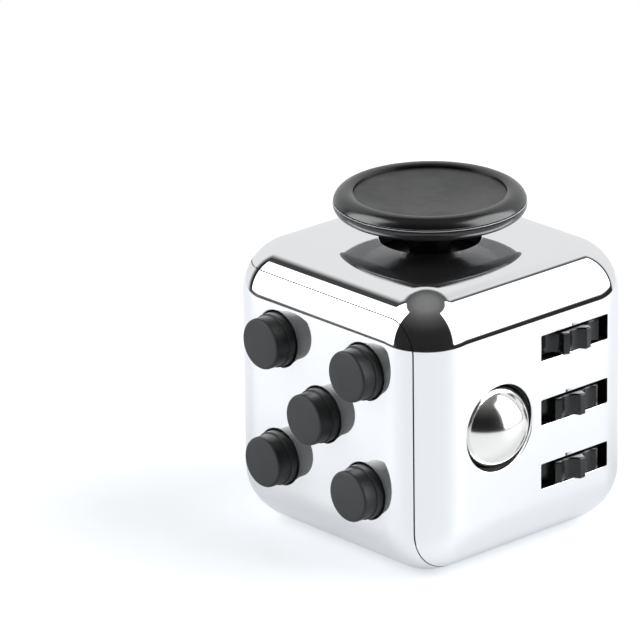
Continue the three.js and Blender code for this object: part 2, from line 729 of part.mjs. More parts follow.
function rollCradle() {
  const pieces = [];
  const holes = [];
  for (const side of [-1, 1]) {
    const low = Math.min(side * ARM_LOW, side * ARM_HIGH);
    const high = Math.max(side * ARM_LOW, side * ARM_HIGH);
    pieces.push(block(CRADLE_BACK_X[0], CRADLE_END_X, ARM_Y, CRADLE_PLATE_Y[1], low, high));
    pieces.push(rod(ARM_EYE_R, low, high).translate(WHEEL_X, WHEEL_Y, 0));
    const screwHole = rod(CLEAR_R, CRADLE_PLATE_Y[0] - 1, CRADLE_PLATE_Y[1] + 1);
    holes.push(onFace(BACK, screwHole.translate(-CRADLE_SCREW_X, side * CRADLE_SCREW_Z, 0)));
  }
  const back = block(...CRADLE_BACK_X, CRADLE_SIDE_Y, CRADLE_PLATE_Y[0] + RUN, -ARM_HIGH, ARM_HIGH);
  const side = block(CRADLE_BACK_X[1] - RUN, CRADLE_END_X, ...CRADLE_PLATE_Y, -ARM_HIGH, ARM_HIGH);
  holes.push(rod(SHAFT_R + 0.05, -SIDE, SIDE).translate(WHEEL_X, WHEEL_Y, 0));
  return cut(join(back, side, ...pieces), ...holes);
}

// A thin strip on the cradle's back plate, bowed so that its bump rests in a valley of its wheel.
function detentLeaf(phase) {
  const toothPitch = 360 / TOOTH_COUNT;
  const firstTooth = phase + toothPitch * Math.floor((180 - phase) / toothPitch);
  const valley = THREE.MathUtils.degToRad(firstTooth + toothPitch / 2);
  const bumpR = WHEEL_R - TOOTH_DEPTH / 2;
  const bumpX = WHEEL_X + bumpR * Math.cos(valley) - LEAF_THICK - REST;
  const bumpY = WHEEL_Y + bumpR * Math.sin(valley);
  const foot = CRADLE_BACK_X[1] + REST / 2;
  const bow = foot + REST;
  const [low, high] = LEAF_ENDS_Y;
  const inner = [[foot, low], [bow, bumpY - 1], [bumpX, bumpY], [bow, bumpY + 1], [foot, high]];
  const outer = inner.map(([x, y]) => [x + LEAF_THICK, y]).reverse();
  return slab(outline([...inner, ...outer].reverse()), -LEAF_HALF, LEAF_HALF);
}

TOOTH_PHASES.forEach((phase, index) => {
  const z = WHEEL_HEIGHTS[index];
  place(cube, `wheel_${index + 1}`, wheel(phase), mattBlack, [WHEEL_X, WHEEL_Y, z]);
  place(cube, `detent_leaf_${index + 1}`, detentLeaf(phase), springSteel, [0, 0, z]);
});
const shaftEnd = ARM_HIGH - 0.05;
place(cube, "wheel_shaft", rod(SHAFT_R, -shaftEnd, shaftEnd), steel, [WHEEL_X, WHEEL_Y, 0]);
[1, -1].forEach((side, index) => {
  const half = (WHEEL_PITCH - WHEEL_THICK) / 2 - RUN;
  const spacer = ring(BORE_R, SPACER_R, -half, half, COARSE);
  place(cube, `wheel_spacer_${index + 1}`, spacer, nylon, [WHEEL_X, WHEEL_Y, (side * WHEEL_PITCH) / 2]);
});
place(cube, "roll_cradle", rollCradle(), mattBlack);
[1, -1].forEach((side, index) => {
  const seat = CRADLE_PLATE_Y[0] - REST;
  const position = [-CRADLE_SCREW_X, side * CRADLE_SCREW_Z, seat];
  place(backFace, `cradle_screw_${index + 1}`, screw(CRADLE_SCREW_TIP - seat), steel, position);
});

// ---------------------------------------------------------------------------------------------
// Right face: a steel ball in a sprung cup
// ---------------------------------------------------------------------------------------------

const CUP_R = 4.15;
const CUP_RIM = 10.9;
const CUP_BOTTOM = 8.5;
const CUP_STEM_R = 1.3;
const CUP_STEM_END = 4.6;
const BRACKET_PLATE = [5.4, 6.4];
const BRACKET_LEG = [6.2, 7.4];
const BRACKET_HALF = 3;

function ballCup() {
  const seatRadius = BALL_R + RUN;
  const body = turned([
    [0, CUP_STEM_END],
    [CUP_STEM_R, CUP_STEM_END],
    [CUP_STEM_R, CUP_BOTTOM],
    [CUP_R, CUP_BOTTOM],
    [CUP_R, CUP_RIM],
    [0, CUP_RIM],
  ]);
  const seat = new THREE.SphereGeometry(seatRadius, MEDIUM, COARSE).translate(0, 0, BALL_Z);
  return cut(body, seat);
}

function ballSpring() {
  const wireR = 0.2;
  const coilR = 2.2;
  const turns = 3;
  const stepsPerTurn = 10;
  const bottom = BRACKET_PLATE[1] + wireR + 0.05;
  const top = CUP_BOTTOM - wireR - 0.05;
  const points = [];
  for (let i = 0; i <= turns * stepsPerTurn; i += 1) {
    const angle = (2 * Math.PI * i) / stepsPerTurn;
    const height = bottom + ((top - bottom) * i) / (turns * stepsPerTurn);
    points.push(new THREE.Vector3(coilR * Math.cos(angle), coilR * Math.sin(angle), height));
  }
  const path = new THREE.CatmullRomCurve3(points);
  const section = new THREE.Shape().absarc(0, 0, wireR, 0, 2 * Math.PI);
  const options = { steps: turns * stepsPerTurn, extrudePath: path, curveSegments: 3, bevelEnabled: false };
  return new THREE.ExtrudeGeometry(section, options);
}

// A U-shaped bracket behind the ball. Its ears are screwed to the right wall.
function ballBracket() {
  const pieces = [];
  const holes = [rod(CUP_STEM_R + 0.15, BRACKET_PLATE[0] - 1, BRACKET_PLATE[1] + 1)];
  const earBottom = EAR_TOP - PLATE;
  for (const side of [-1, 1]) {
    const span = (from, to) => [Math.min(side * from, side * to), Math.max(side * from, side * to)];
    pieces.push(block(-BRACKET_HALF, BRACKET_HALF, ...span(...BRACKET_LEG), BRACKET_PLATE[0], EAR_TOP));
    const ear = span(BRACKET_LEG[0], BRACKET_SCREW_Y + BOSS_R);
    pieces.push(block(-BOSS_R, BOSS_R, ...ear, earBottom, EAR_TOP));
    holes.push(rod(CLEAR_R, earBottom - 1, EAR_TOP + 1).translate(0, side * BRACKET_SCREW_Y, 0));
  }
  const plate = block(-BRACKET_HALF, BRACKET_HALF, -BRACKET_LEG[1], BRACKET_LEG[1], ...BRACKET_PLATE);
  return cut(join(plate, ...pieces), ...holes);
}

const ballGeometry = new THREE.SphereGeometry(BALL_R, MEDIUM, COARSE).rotateX(Math.PI / 2);
place(rightFace, "ball", ballGeometry, polishedSteel, [BALL_Y, 0, BALL_Z]);
place(rightFace, "ball_cup", ballCup(), nylon, [BALL_Y, 0, 0]);
place(rightFace, "ball_spring", ballSpring(), springSteel, [BALL_Y, 0, 0]);
place(rightFace, "ball_bracket", ballBracket(), mattBlack, [BALL_Y, 0, 0]);
[1, -1].forEach((side, index) => {
  const seat = EAR_TOP - PLATE - REST;
  const position = [BALL_Y, side * BRACKET_SCREW_Y, seat];
  place(rightFace, `bracket_screw_${index + 1}`, screw(EAR_SCREW_TIP - seat), steel, position);
});

// ---------------------------------------------------------------------------------------------
// Left face: a rocker that snaps from one side to the other. Its outlines are drawn about the pin.
// ---------------------------------------------------------------------------------------------

const PIN_R = 0.62;
const HOUSING_OUT = 14.5;
const HOUSING_HALF_X = 5;
const HOUSING_WALL = 1.25;
const HOUSING_HALF_Y = 8.1;
const HOUSING_FLOOR = [8.4, 9.3];

// The corner that stands out when the rocker is tilted reaches ROCKER_OUT above the face.
function rockerCornerAngle() {
  const reach = HALF + ROCKER_OUT - ROCKER_PIVOT;
  return Math.asin(reach / ROCKER_R) - THREE.MathUtils.degToRad(ROCKER_TILT);
}

function rocker() {
  const corner = rockerCornerAngle();
  const lower = THREE.MathUtils.degToRad(-8);
  const steps = 4;
  const end = [];
  for (let i = 0; i <= steps; i += 1) {
    const angle = lower + ((corner - lower) * i) / steps;
    end.push([ROCKER_R * Math.cos(angle), ROCKER_R * Math.sin(angle)]);
  }
  const saddle = ROCKER_R * Math.sin(corner) - ROCKER_SADDLE;
  const saddleHalf = 2;
  const noseHalf = 0.25;
  const hubHalf = 1.3;
  const nose = [[-noseHalf, -ROCKER_NOSE], [noseHalf, -ROCKER_NOSE], [hubHalf, -hubHalf]];
  const mirrored = end.map(([y, z]) => [-y, z]).reverse();
  const hollow = [[saddleHalf, saddle], [-saddleHalf, saddle]];
  const shape = outline([...nose, ...end, ...hollow, ...mirrored, [-hubHalf, -hubHalf]]);
  const body = slabAcross(shape, ROCKER_WIDTH / 2);
  const bore = rod(PIN_R + 0.1, -ROCKER_WIDTH, ROCKER_WIDTH).rotateY(Math.PI / 2);
  return cut(body, bore);
}

function rockerHousing() {
  const innerX = HOUSING_HALF_X - HOUSING_WALL;
  const innerY = ROCKER_R + RUN;
  const sides = [-HOUSING_HALF_X, HOUSING_HALF_X, -HOUSING_HALF_Y, HOUSING_HALF_Y];
  const body = block(...sides, HOUSING_FLOOR[0], HOUSING_OUT);
  const hollow = block(-innerX, innerX, -innerY, innerY, HOUSING_FLOOR[1], HOUSING_OUT + 1);
  const pinHole = rod(PIN_R + 0.06, -SIDE, SIDE).rotateY(Math.PI / 2).translate(0, 0, ROCKER_PIVOT);
  const ears = [];
  const holes = [hollow, pinHole];
  const earBottom = EAR_TOP - PLATE;
  for (const side of [-1, 1]) {
    const edge = side * (ROCKER_SCREW_X + BOSS_R);
    const root = side * (HOUSING_HALF_X - 1);
    ears.push(block(Math.min(edge, root), Math.max(edge, root), -BOSS_R, BOSS_R, earBottom, EAR_TOP));
    holes.push(rod(CLEAR_R, earBottom - 1, EAR_TOP + 1).translate(side * ROCKER_SCREW_X, 0, 0));
  }
  return cut(join(body, ...ears), ...holes);
}

// A steel strip on the housing floor with a notch each side of its middle, for the rocker's nose.
function rockerLeafSpring() {
  const floor = HOUSING_FLOOR[1] + REST / 2;
  const thick = 0.2;
  const halfWidth = 1.5;
  const end = 6;
  const hump = 2;
  const notch = 0.65;
  const lower = [[-end, floor], [-hump, floor + 0.35], [-notch, floor + 0.15], [0, floor + 0.4]];
  const right = lower.slice(0, -1).map(([y, z]) => [-y, z]).reverse();
  const under = [...lower, ...right];
  const over = under.map(([y, z]) => [y, z + thick]).reverse();
  return slabAcross(outline([...under, ...over]), halfWidth);
}

const rockerGroup = new THREE.Group();
rockerGroup.position.z = ROCKER_PIVOT;
rockerGroup.rotation.x = THREE.MathUtils.degToRad(ROCKER_TILT);
leftFace.add(rockerGroup);
place(rockerGroup, "rocker", rocker(), glossBlack);
const pinHalf = HOUSING_HALF_X - REST;
place(leftFace, "rocker_pin", rod(PIN_R, -pinHalf, pinHalf).rotateY(Math.PI / 2), steel, [0, 0, ROCKER_PIVOT]);
place(leftFace, "rocker_housing", rockerHousing(), mattBlack);
place(leftFace, "rocker_leaf_spring", rockerLeafSpring(), springSteel);
[1, -1].forEach((side, index) => {
  const seat = EAR_TOP - PLATE - REST;
  const position = [side * ROCKER_SCREW_X, 0, seat];
  place(leftFace, `rocker_screw_${index + 1}`, screw(EAR_SCREW_TIP - seat), steel, position);
});

// ---------------------------------------------------------------------------------------------
// Back face: a dial that spins, held through the wall by a retainer
// ---------------------------------------------------------------------------------------------

const DIAL_FOOT = HALF - DIAL_RECESS + RUN;
const DIAL_DISH = 0.7; // its floor below its rim
const HOLLOW_R = 3; // the finger hollow is part of a sphere
const HOLLOW_Y = 4.8;
const HOLLOW_DEPTH = 0.7;
const HUB_END = 13.75;
const WASHER_R = 5;
const RETAINER_R = 4.6;
const RETAINER = [HUB_END - REST - PLATE * 0.7, HUB_END - REST];

// A dished disc with a finger hollow near its edge.
function spinDial() {
  const top = HALF + DIAL_OUT;
  const edge = 0.5;
  const rim = 1.4;
  const rimSlope = 0.6;
  const dishBottom = top - DIAL_DISH;
  const body = turned([
    [0, HUB_END],
    [HUB_R, HUB_END],
    [HUB_R, DIAL_FOOT],
    [DIAL_R, DIAL_FOOT],
    [DIAL_R, top - edge],
    [DIAL_R - edge / 3, top - edge / 3],
    [DIAL_R - edge, top],
    [DIAL_R - rim, top],
    [DIAL_R - rim - rimSlope, dishBottom],
    [0, dishBottom],
  ], FINE);
  const hollow = new THREE.SphereGeometry(HOLLOW_R, COARSE, COARSE);
  hollow.translate(0, HOLLOW_Y, dishBottom + HOLLOW_R - HOLLOW_DEPTH);
  return cut(body, hollow, rod(PILOT_R, HUB_END - 1, HALF));
}

place(backFace, "spin_dial", spinDial(), glossBlack);
place(backFace, "dial_washer", ring(HUB_R + 0.3, WASHER_R, HUB_END + REST, INNER - REST, MEDIUM), felt);
place(backFace, "dial_retainer", cut(rod(RETAINER_R, ...RETAINER, MEDIUM), rod(CLEAR_R, 0, SIDE)), nylon);
const dialScrewSeat = RETAINER[0] - REST;
place(backFace, "dial_screw", screw(HALF - 0.3 - dialScrewSeat), steel, [0, 0, dialScrewSeat]);

export default cube;
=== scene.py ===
import json
import math

import bmesh
import bpy
import numpy as np
from mathutils import Matrix, Vector


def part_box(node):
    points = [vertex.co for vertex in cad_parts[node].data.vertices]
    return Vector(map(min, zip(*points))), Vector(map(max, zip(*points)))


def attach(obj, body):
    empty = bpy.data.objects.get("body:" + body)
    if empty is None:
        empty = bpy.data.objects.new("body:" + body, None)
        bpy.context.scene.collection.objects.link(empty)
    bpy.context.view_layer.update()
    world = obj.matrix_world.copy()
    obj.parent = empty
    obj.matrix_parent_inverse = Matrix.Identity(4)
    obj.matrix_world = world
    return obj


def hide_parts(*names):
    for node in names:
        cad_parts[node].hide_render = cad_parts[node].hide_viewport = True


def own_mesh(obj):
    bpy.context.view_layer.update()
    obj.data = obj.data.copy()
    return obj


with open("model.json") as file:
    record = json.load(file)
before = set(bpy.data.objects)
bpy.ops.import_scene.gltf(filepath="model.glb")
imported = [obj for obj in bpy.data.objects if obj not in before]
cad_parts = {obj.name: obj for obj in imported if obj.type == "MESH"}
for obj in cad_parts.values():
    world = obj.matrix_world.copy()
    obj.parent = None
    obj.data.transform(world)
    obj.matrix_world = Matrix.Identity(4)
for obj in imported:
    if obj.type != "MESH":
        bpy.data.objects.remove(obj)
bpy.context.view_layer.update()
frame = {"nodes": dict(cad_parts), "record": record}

# A chromed fidget cube on a white table in a photo studio.
# Shapes are drawn in millimetres about the cube's centre, and put() takes them into the frame:
#   -Y five buttons, +X ball and wheels, +Z thumb stick, +Y dial, -X rocker, -Z thumb dish.

# ---------------------------------------------------------------------------------------------
# Driving dimensions in millimetres, nearly all as the CAD part has them
# ---------------------------------------------------------------------------------------------

MM = 0.001


def box_mm(*nodes):
    """The lowest and highest corner of some CAD nodes, in millimetres of the frame."""
    boxes = [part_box(node) for node in nodes]
    low = Vector(min(box[0][axis] for box in boxes) for axis in range(3))
    high = Vector(max(box[1][axis] for box in boxes) for axis in range(3))
    return low / MM, high / MM


CASE_LOW, CASE_HIGH = box_mm("click_side_shell", "roll_side_shell")
HALF = (CASE_HIGH.x - CASE_LOW.x) / 2
CENTRE = (CASE_LOW + CASE_HIGH) / 2


def middle(node):
    """The middle of a CAD node's box, from the cube's centre."""
    low, high = box_mm(node)
    return (low + high) / 2 - CENTRE


# Case
FILLET = 6.3  # every edge and corner
WALL = 1.8
INNER = HALF - WALL
SEAM_INSET = 1.0  # the joint line runs this far in from the front, left and base faces
SEAM_GAP = 0.09  # wider than in the CAD part, so that the line shows
LAP_EDGE = 12.5
TOOTH = 0.5  # how far a boss reaches into its wall
SEAT_GAP = 0.1  # between a boss and what is screwed to it
LIP = 0.14  # rounding of the edges of holes
BEYOND = 1.0  # how far a cutting tool runs past the skin that it cuts
EAR_TOP = 13.6
BOSS_R = 1.5
PILOT_R = 0.65
PILOT_END = 15.4
SKIN_TOLERANCE = 0.004  # how far facets of the outer skin may lie under the true surface
SKIN_ANGLE = math.radians(2)  # and how far they may lean from it

# Buttons
BUTTONS = [middle(f"button_{number}") for number in range(1, 6)]
BUTTON_R = 2.88
BUTTON_EDGE = 0.3
BUTTON_OUT = -box_mm("button_1")[0].y - HALF
BUTTON_HOLE_R = 3.2
COLLAR_R = 3.05
COLLAR_OUT = 0.9
FLANGE_R = 3.9
FLANGE_THICK = 0.7
FLANGE_GAP = 0.3  # between the wall's inside and the flange at rest
STUB_R = 1.5
STUB_EDGE = 0.15
SOFT_EDGE = 0.1  # small rounding of the button's other edges
BOARD_TOP = 11.3
BOARD_SCREW_X = 7.0

# Thumb stick
CAP_R = (box_mm("thumb_ring")[1].x - box_mm("thumb_ring")[0].x) / 2
CAP_TOP_R = 1.5  # section radius of the cap's round rim above its widest part
CAP_UNDER_R = 1.1  # and below it
CAP_WIDEST_Z = HALF + 4.05
CAP_SPLIT = HALF + 4.4  # joint line between ring and base
CAP_LINE = 0.1
CAP_EDGE = 0.06  # bevel each side of that line
CAP_RIM_REACH = 0.3  # the bevels lie less than this inside the widest radius
PAD_R = 8.42
PAD_Z = HALF + 5.1
PAD_DISH = 0.35
PAD_FOOT = box_mm("thumb_pad")[0].z - CENTRE.z
SKIRT_R = 9.0
SKIRT_GAP = 0.05
STEM_R = 2.3
FLARE_BASE_Z = HALF + 1.1  # the stem widens from here
FLARE_FOOT_Z = HALF + 2.1
FLARE_EDGE_Z = HALF + 2.9
FLARE_FOOT_R = STEM_R + 1
FLARE_EDGE_R = PAD_R - 1
FLARE_ROUNDINGS = (0.6, 0.5, 1.0)  # at its base, foot and edge
RIM_TANGENT_GAP = 0.1  # the underside ends this far inside the rim's lowest point
STEM_FOOT = box_mm("thumb_base")[0].z - CENTRE.z
STICK_HOLE_R = 5.65
GLIDE_SCREW_X = 12.5
GLIDE_BOSS_FOOT = 12.2
GLIDE_PILOT_END = 14.1
STEM_PILOT_DEEP = HALF + 2

# Wheels
WHEELS = [middle(f"wheel_{number}") for number in range(1, 4)]
WHEEL_R = 6.0
WHEEL_THICK = 2.5
TOOTH_COUNT = 12
TOOTH_DEPTH = 0.85
TOOTH_LAND = 7.0  # degrees of a tooth's flat tip
TOOTH_PHASES = [10, 1, 1]
WHEEL_EDGE = 0.2
SHAFT_BORE_R = 1.33
SLOT_HEIGHT = 2.9
SLOT_LENGTH = 10.2
SLOT_CORNER = 0.12
SLOT_LIP = 0.07
SLOT_WALL = 1.2
WHEEL_ROOM_ENDS = 0.5  # hollow behind a slot, past its ends
WHEEL_ROOM_SIDES = 0.4  # and past the wheel's sides
CRADLE_SCREW_X = 8.6
CRADLE_PLATE_OUT = 13.4

# Ball
BALL = middle("ball")
BALL_R = (box_mm("ball")[1].z - box_mm("ball")[0].z) / 2
BALL_MOUTH_R = 4.95
BALL_LIP_R = 4.7
BALL_LIP_DEPTH = 0.8
BALL_LIP_SLOPE = 0.2
BALL_MOUTH_EDGE = 0.1
BALL_CLEARANCE = 0.2
BRACKET_SCREW_Z = 9.0

# Rocker
PIN = middle("rocker_pin")
PIN_BORE_R = 0.72
ROCKER_R = 6.9
ROCKER_WIDTH = 7.0
ROCKER_TILT = 12.0
ROCKER_OUT = -box_mm("rocker")[0].x - HALF
ROCKER_SCREW_Y = 6.8
ROCKER_GAP = 0.1
ROCKER_OPENING_CORNER = 0.4
ROCKER_END_START = math.radians(-8)  # the round ends start this far below the pin's level
SADDLE_DEPTH = 0.7
SADDLE_REACH = 2.0
SADDLE_R = 1.5
HEEL_REACH = 1.3  # the underside narrows from here
HEEL_Z = -1.3
NOSE_REACH = 0.25  # to the nose that the leaf spring presses
NOSE_Z = -3.1
ROCKER_EDGE = 0.3
ROCKER_CREASE = math.radians(40)  # edges that turn more than this are rounded

# Dial
DIAL_R = (box_mm("spin_dial")[1].x - box_mm("spin_dial")[0].x) / 2
DIAL_OUT = box_mm("spin_dial")[1].y - HALF
DIAL_FOOT = 16.2
DIAL_RECESS_R = 9.5
DIAL_RECESS = 0.5
DIAL_RIM = 1.4
DIAL_RIM_SLOPE = 0.6
DIAL_DISH = 0.7
DIAL_ROUNDINGS = (0.1, 0.5, 0.3, 0.5)  # at its foot, outer edge, inner edge and dish
HOLLOW_R = 3.0  # of the ball shape that scoops the finger hollow
HOLLOW_Y = 4.8
HOLLOW_RISE = 2.3
HUB_R = 2.4
HUB_GAP = 0.2
HUB_END = box_mm("spin_dial")[0].y

# Thumb dish in the base
DISH_LONG = 8.5
DISH_SHORT = 5.5
DISH_DEEP = 1.4
DISH_SEMI_HEIGHT = 5.0

# Fineness
FILLET_STEPS = 20  # for each eighth of a turn
ROUND = 128  # sides of a round hole or turned piece
ARC_STEPS = 6  # for each small rounded edge
BORE_SIDES = 48  # sides of a boss or a bore
PILOT_SIDES = 32
SPHERE_STEPS = 24  # for each eighth of a turn of a ball shape that cuts
BALL_STEPS = 32  # and of the ball itself
CREASE = math.radians(35)  # edges that turn more than this stay sharp
SAME_POINT = 1e-5  # points drawn twice are within this of each other
NO_LENGTH = 1e-6
SLIVER = 0.0002  # points that cuts leave closer than this are made one

# ---------------------------------------------------------------------------------------------
# Mesh making
# ---------------------------------------------------------------------------------------------


def mesh_from(vertices, faces, name="shape"):
    """A closed mesh with doubled points merged and faces turned outward."""
    mesh = bpy.data.meshes.new(name)
    mesh.from_pydata([tuple(v) for v in vertices], [], faces)
    work = bmesh.new()
    work.from_mesh(mesh)
    bmesh.ops.remove_doubles(work, verts=work.verts, dist=SAME_POINT)
    bmesh.ops.dissolve_degenerate(work, edges=work.edges, dist=NO_LENGTH)
    bmesh.ops.recalc_face_normals(work, faces=work.faces)
    work.to_mesh(mesh)
    work.free()
    return mesh


def rounded_cube(low, high, radius, steps=FILLET_STEPS):
    """A cube from low to high on each axis, with round edges and corners."""
    centre = (low + high) / 2
    half = (high - low) / 2
    core = half - radius
    turns = [math.radians(45 * step / steps) for step in range(steps + 1)]
    grid = [-core - radius * math.tan(turn) for turn in reversed(turns)]
    grid += [core + radius * math.tan(turn) for turn in turns]
    count = len(grid)
    vertices = []
    faces = []
    for axis in range(3):
        for side in (-1, 1):
            first = len(vertices)
            for u in grid:
                for v in grid:
                    point = np.roll([side * half, u, v], axis)
                    inside = np.clip(point, -core, core)
                    outward = point - inside
                    outward /= np.linalg.norm(outward)
                    vertices.append(inside + radius * outward + centre)
            for i in range(count - 1):
                for j in range(count - 1):
                    corner = first + i * count + j
                    faces.append((corner, corner + 1, corner + count + 1, corner + count))
    return mesh_from(vertices, faces)


def loft(rings):
    """A solid through closed rings of points that have the same count, capped at both ends."""
    count = len(rings[0])
    vertices = [point for ring in rings for point in ring]
    faces = [tuple(range(count)), tuple(range(len(vertices) - count, len(vertices)))]
    for level in range(len(rings) - 1):
        for i in range(count):
            a = level * count + i
            b = level * count + (i + 1) % count
            faces.append((a, b, b + count, a + count))
    return mesh_from(vertices, faces)


def turned(profile, sides=ROUND):
    """A closed profile of (radius, z) points turned about Z."""
    count = len(profile)
    vertices = []
    faces = []
    for side in range(sides):
        angle = 2 * math.pi * side / sides
        for radius, z in profile:
            vertices.append((radius * math.cos(angle), radius * math.sin(angle), z))
    for side in range(sides):
        for i in range(count):
            a, b = side * count + i, side * count + (i + 1) % count
            shift = (side + 1) % sides * count - side * count
            faces.append((a, b, b + shift, a + shift))
    return mesh_from(vertices, faces)


def rod(radius, z0, z1, sides=ROUND):
    """A cylinder about Z."""
    return turned([(0, z0), (radius, z0), (radius, z1), (0, z1)], sides)


def block(x0, x1, y0, y1, z0, z1):
    """A box between two places on each axis."""
    return loft([[(x0, y0, z), (x1, y0, z), (x1, y1, z), (x0, y1, z)] for z in (z0, z1)])


def rounded(corners, steps=ARC_STEPS):
    """The outline through (x, y, radius) corners, each rounded off by its radius."""
    line = []
    for i, (x, y, radius) in enumerate(corners):
        here = Vector((x, y))
        if radius == 0:
            line.append((x, y))
            continue
        to_before = (Vector(corners[i - 1][:2]) - here).normalized()
        to_after = (Vector(corners[(i + 1) % len(corners)][:2]) - here).normalized()
        half_angle = to_before.angle(to_after) / 2
        centre = here + (to_before + to_after).normalized() * radius / math.sin(half_angle)
        start = here + to_before * radius / math.tan(half_angle) - centre
        sweep = math.pi - 2 * half_angle
        if to_before.cross(to_after) > 0:
            sweep = -sweep
        for step in range(steps + 1):
            line.append(tuple(centre + Matrix.Rotation(sweep * step / steps, 2) @ start))
    return line


def moved(mesh, matrix):
    """A copy of a mesh, moved."""
    copy = mesh.copy()
    copy.transform(matrix)
    return copy


def shifted(mesh, x=0.0, y=0.0, z=0.0):
    return moved(mesh, Matrix.Translation((x, y, z)))


def combine(base, tool, operation):
    """base joined with, cut by or limited to tool, as a new mesh."""
    scene = bpy.context.scene
    objects = [bpy.data.objects.new("combine", mesh) for mesh in (base, tool)]
    for item in objects:
        scene.collection.objects.link(item)
    modifier = objects[0].modifiers.new("combine", "BOOLEAN")
    modifier.operation = operation
    modifier.solver = "MANIFOLD"
    modifier.object = objects[1]
    graph = bpy.context.evaluated_depsgraph_get()
    result = bpy.data.meshes.new_from_object(objects[0].evaluated_get(graph))
    for item in objects:
        bpy.data.objects.remove(item)
    return result


def join(base, *others):
    for other in others:
        base = combine(base, other, "UNION")
    return base


def cut(base, *tools):
    for tool in tools:
        base = combine(base, tool, "DIFFERENCE")
    return base


def keep(base, *limits):
    for limit in limits:
        base = combine(base, limit, "INTERSECT")
    return base


def without_slivers(mesh):
    """Closes the needle-thin faces that cuts leave where points almost meet."""
    work = bmesh.new()
    work.from_mesh(mesh)
    bmesh.ops.remove_doubles(work, verts=work.verts, dist=SLIVER)
    bmesh.ops.dissolve_degenerate(work, edges=work.edges, dist=SLIVER)
    work.to_mesh(mesh)
    work.free()
    return mesh


def face_frame(across, along, outward):
    """A face's own frame: X runs across the face, Y along it, and Z points out of the cube."""
    return Matrix((across, along, outward)).transposed().to_4x4()


FRONT = face_frame((1, 0, 0), (0, 0, 1), (0, -1, 0))
RIGHT = face_frame((0, 1, 0), (0, 0, 1), (1, 0, 0))
BACK = face_frame((-1, 0, 0), (0, 0, 1), (0, 1, 0))
LEFT = face_frame((0, -1, 0), (0, 0, 1), (-1, 0, 0))
BASE = face_frame((1, 0, 0), (0, -1, 0), (0, 0, -1))


def outline_ring(half_x, half_y, corner, z, steps=ARC_STEPS):
    """A rectangle with round corners at height z; a circle if corner equals both halves."""
    ring = []
    for quarter in range(4):
        middle_x = (half_x - corner) * (1, -1, -1, 1)[quarter]
        middle_y = (half_y - corner) * (1, 1, -1, -1)[quarter]
        for step in range(steps + 1):
            angle = math.radians(90 * (quarter + step / steps))
            across = corner * math.cos(angle)
            along = corner * math.sin(angle)
            ring.append((middle_x + across, middle_y + along, z))
    return ring


def lip_levels(lip):
    """How far a hole has opened at each height of its rounded outer edge, and on above the face."""
    levels = []
    last_turn = 80  # degrees; the edge meets the face at a slight angle
    straight_from = 0.15
    for step in range(ARC_STEPS + 1):
        turn = math.radians(last_turn * step / ARC_STEPS)
        levels.append((lip * (1 - math.cos(turn)), HALF - lip + lip * math.sin(turn)))
    return [*levels, (lip, HALF + lip * straight_from), (lip, HALF + BEYOND)]


def hole(half_x, half_y, corner, lip=LIP, foot=INNER - BEYOND, steps=ARC_STEPS):
    """The tool for a hole through a face at z = HALF, whose outer edge is rounded by lip."""
    levels = [(0, foot), *lip_levels(lip)]
    rings = [outline_ring(half_x + grow, half_y + grow, corner + grow, z, steps) for grow, z in levels]
    return loft(rings)


def round_hole(radius, lip=LIP, foot=INNER - BEYOND):
    return hole(radius, radius, radius, lip, foot, ROUND // 4)


# ---------------------------------------------------------------------------------------------
# Case
# ---------------------------------------------------------------------------------------------


def case_wall():
    """The hollow cube that both halves are parts of."""
    return cut(rounded_cube(-HALF, HALF, FILLET), rounded_cube(-INNER, INNER, FILLET - WALL))


def inside_seam(inset):
    """The space inside the joint surface, running on past the top, right and back faces."""
    return rounded_cube(inset - HALF, 2 * HALF, FILLET - inset)


def lap_block(edge):
    """Where the joint surface steps inward, far enough from the top, right and back faces."""
    return block(-2 * HALF, edge, -2 * HALF, edge, -2 * HALF, edge)


def boss(x, y, foot):
    """A post from foot outward into the wall."""
    return shifted(rod(BOSS_R, foot, INNER + TOOTH, BORE_SIDES), x, y)


def pilot_hole(x, y, foot, tip):
    """The tool for a screw's hole in a boss."""
    return shifted(rod(PILOT_R, foot - BEYOND, tip, PILOT_SIDES), x, y)


def dish_ellipsoid(extra):
    """An ellipsoid that meets the base in the dish's oval, grown all round by extra."""
    depth = DISH_SEMI_HEIGHT - DISH_DEEP
    spread = math.sqrt(1 - (depth / DISH_SEMI_HEIGHT) ** 2)
    sphere = rounded_cube(-1, 1, 1, SPHERE_STEPS)
    half_long = DISH_LONG / spread + extra
    half_short = DISH_SHORT / spread + extra
    scale = Matrix.Diagonal((half_long, half_short, DISH_SEMI_HEIGHT + extra, 1))
    return moved(sphere, Matrix.Translation((0, 0, HALF + depth)) @ scale)


def click_side_shell():
    """The half with the front, left and base faces: buttons, rocker and dish."""
    edge = cut(inside_seam(SEAM_INSET), lap_block(LAP_EDGE))
    wall = cut(case_wall(), edge)
    outside = rounded_cube(-HALF, HALF, FILLET)
    additions = [keep(moved(dish_ellipsoid(WALL - TOOTH), BASE), outside)]
    holes = [moved(dish_ellipsoid(0), BASE)]
    for side in (-1, 1):
        additions.append(moved(boss(side * BOARD_SCREW_X, 0, BOARD_TOP), FRONT))
        holes.append(moved(pilot_hole(side * BOARD_SCREW_X, 0, BOARD_TOP, PILOT_END), FRONT))
        additions.append(moved(boss(side * ROCKER_SCREW_Y, 0, EAR_TOP + SEAT_GAP), LEFT))
        holes.append(moved(pilot_hole(side * ROCKER_SCREW_Y, 0, EAR_TOP, PILOT_END), LEFT))
    for place in BUTTONS:
        holes.append(moved(shifted(round_hole(BUTTON_HOLE_R), place.x, place.z), FRONT))
    opening = hole(ROCKER_WIDTH / 2 + ROCKER_GAP, ROCKER_R + ROCKER_GAP, ROCKER_OPENING_CORNER)
    holes.append(moved(opening, LEFT))
    return cut(join(wall, *additions), *holes)


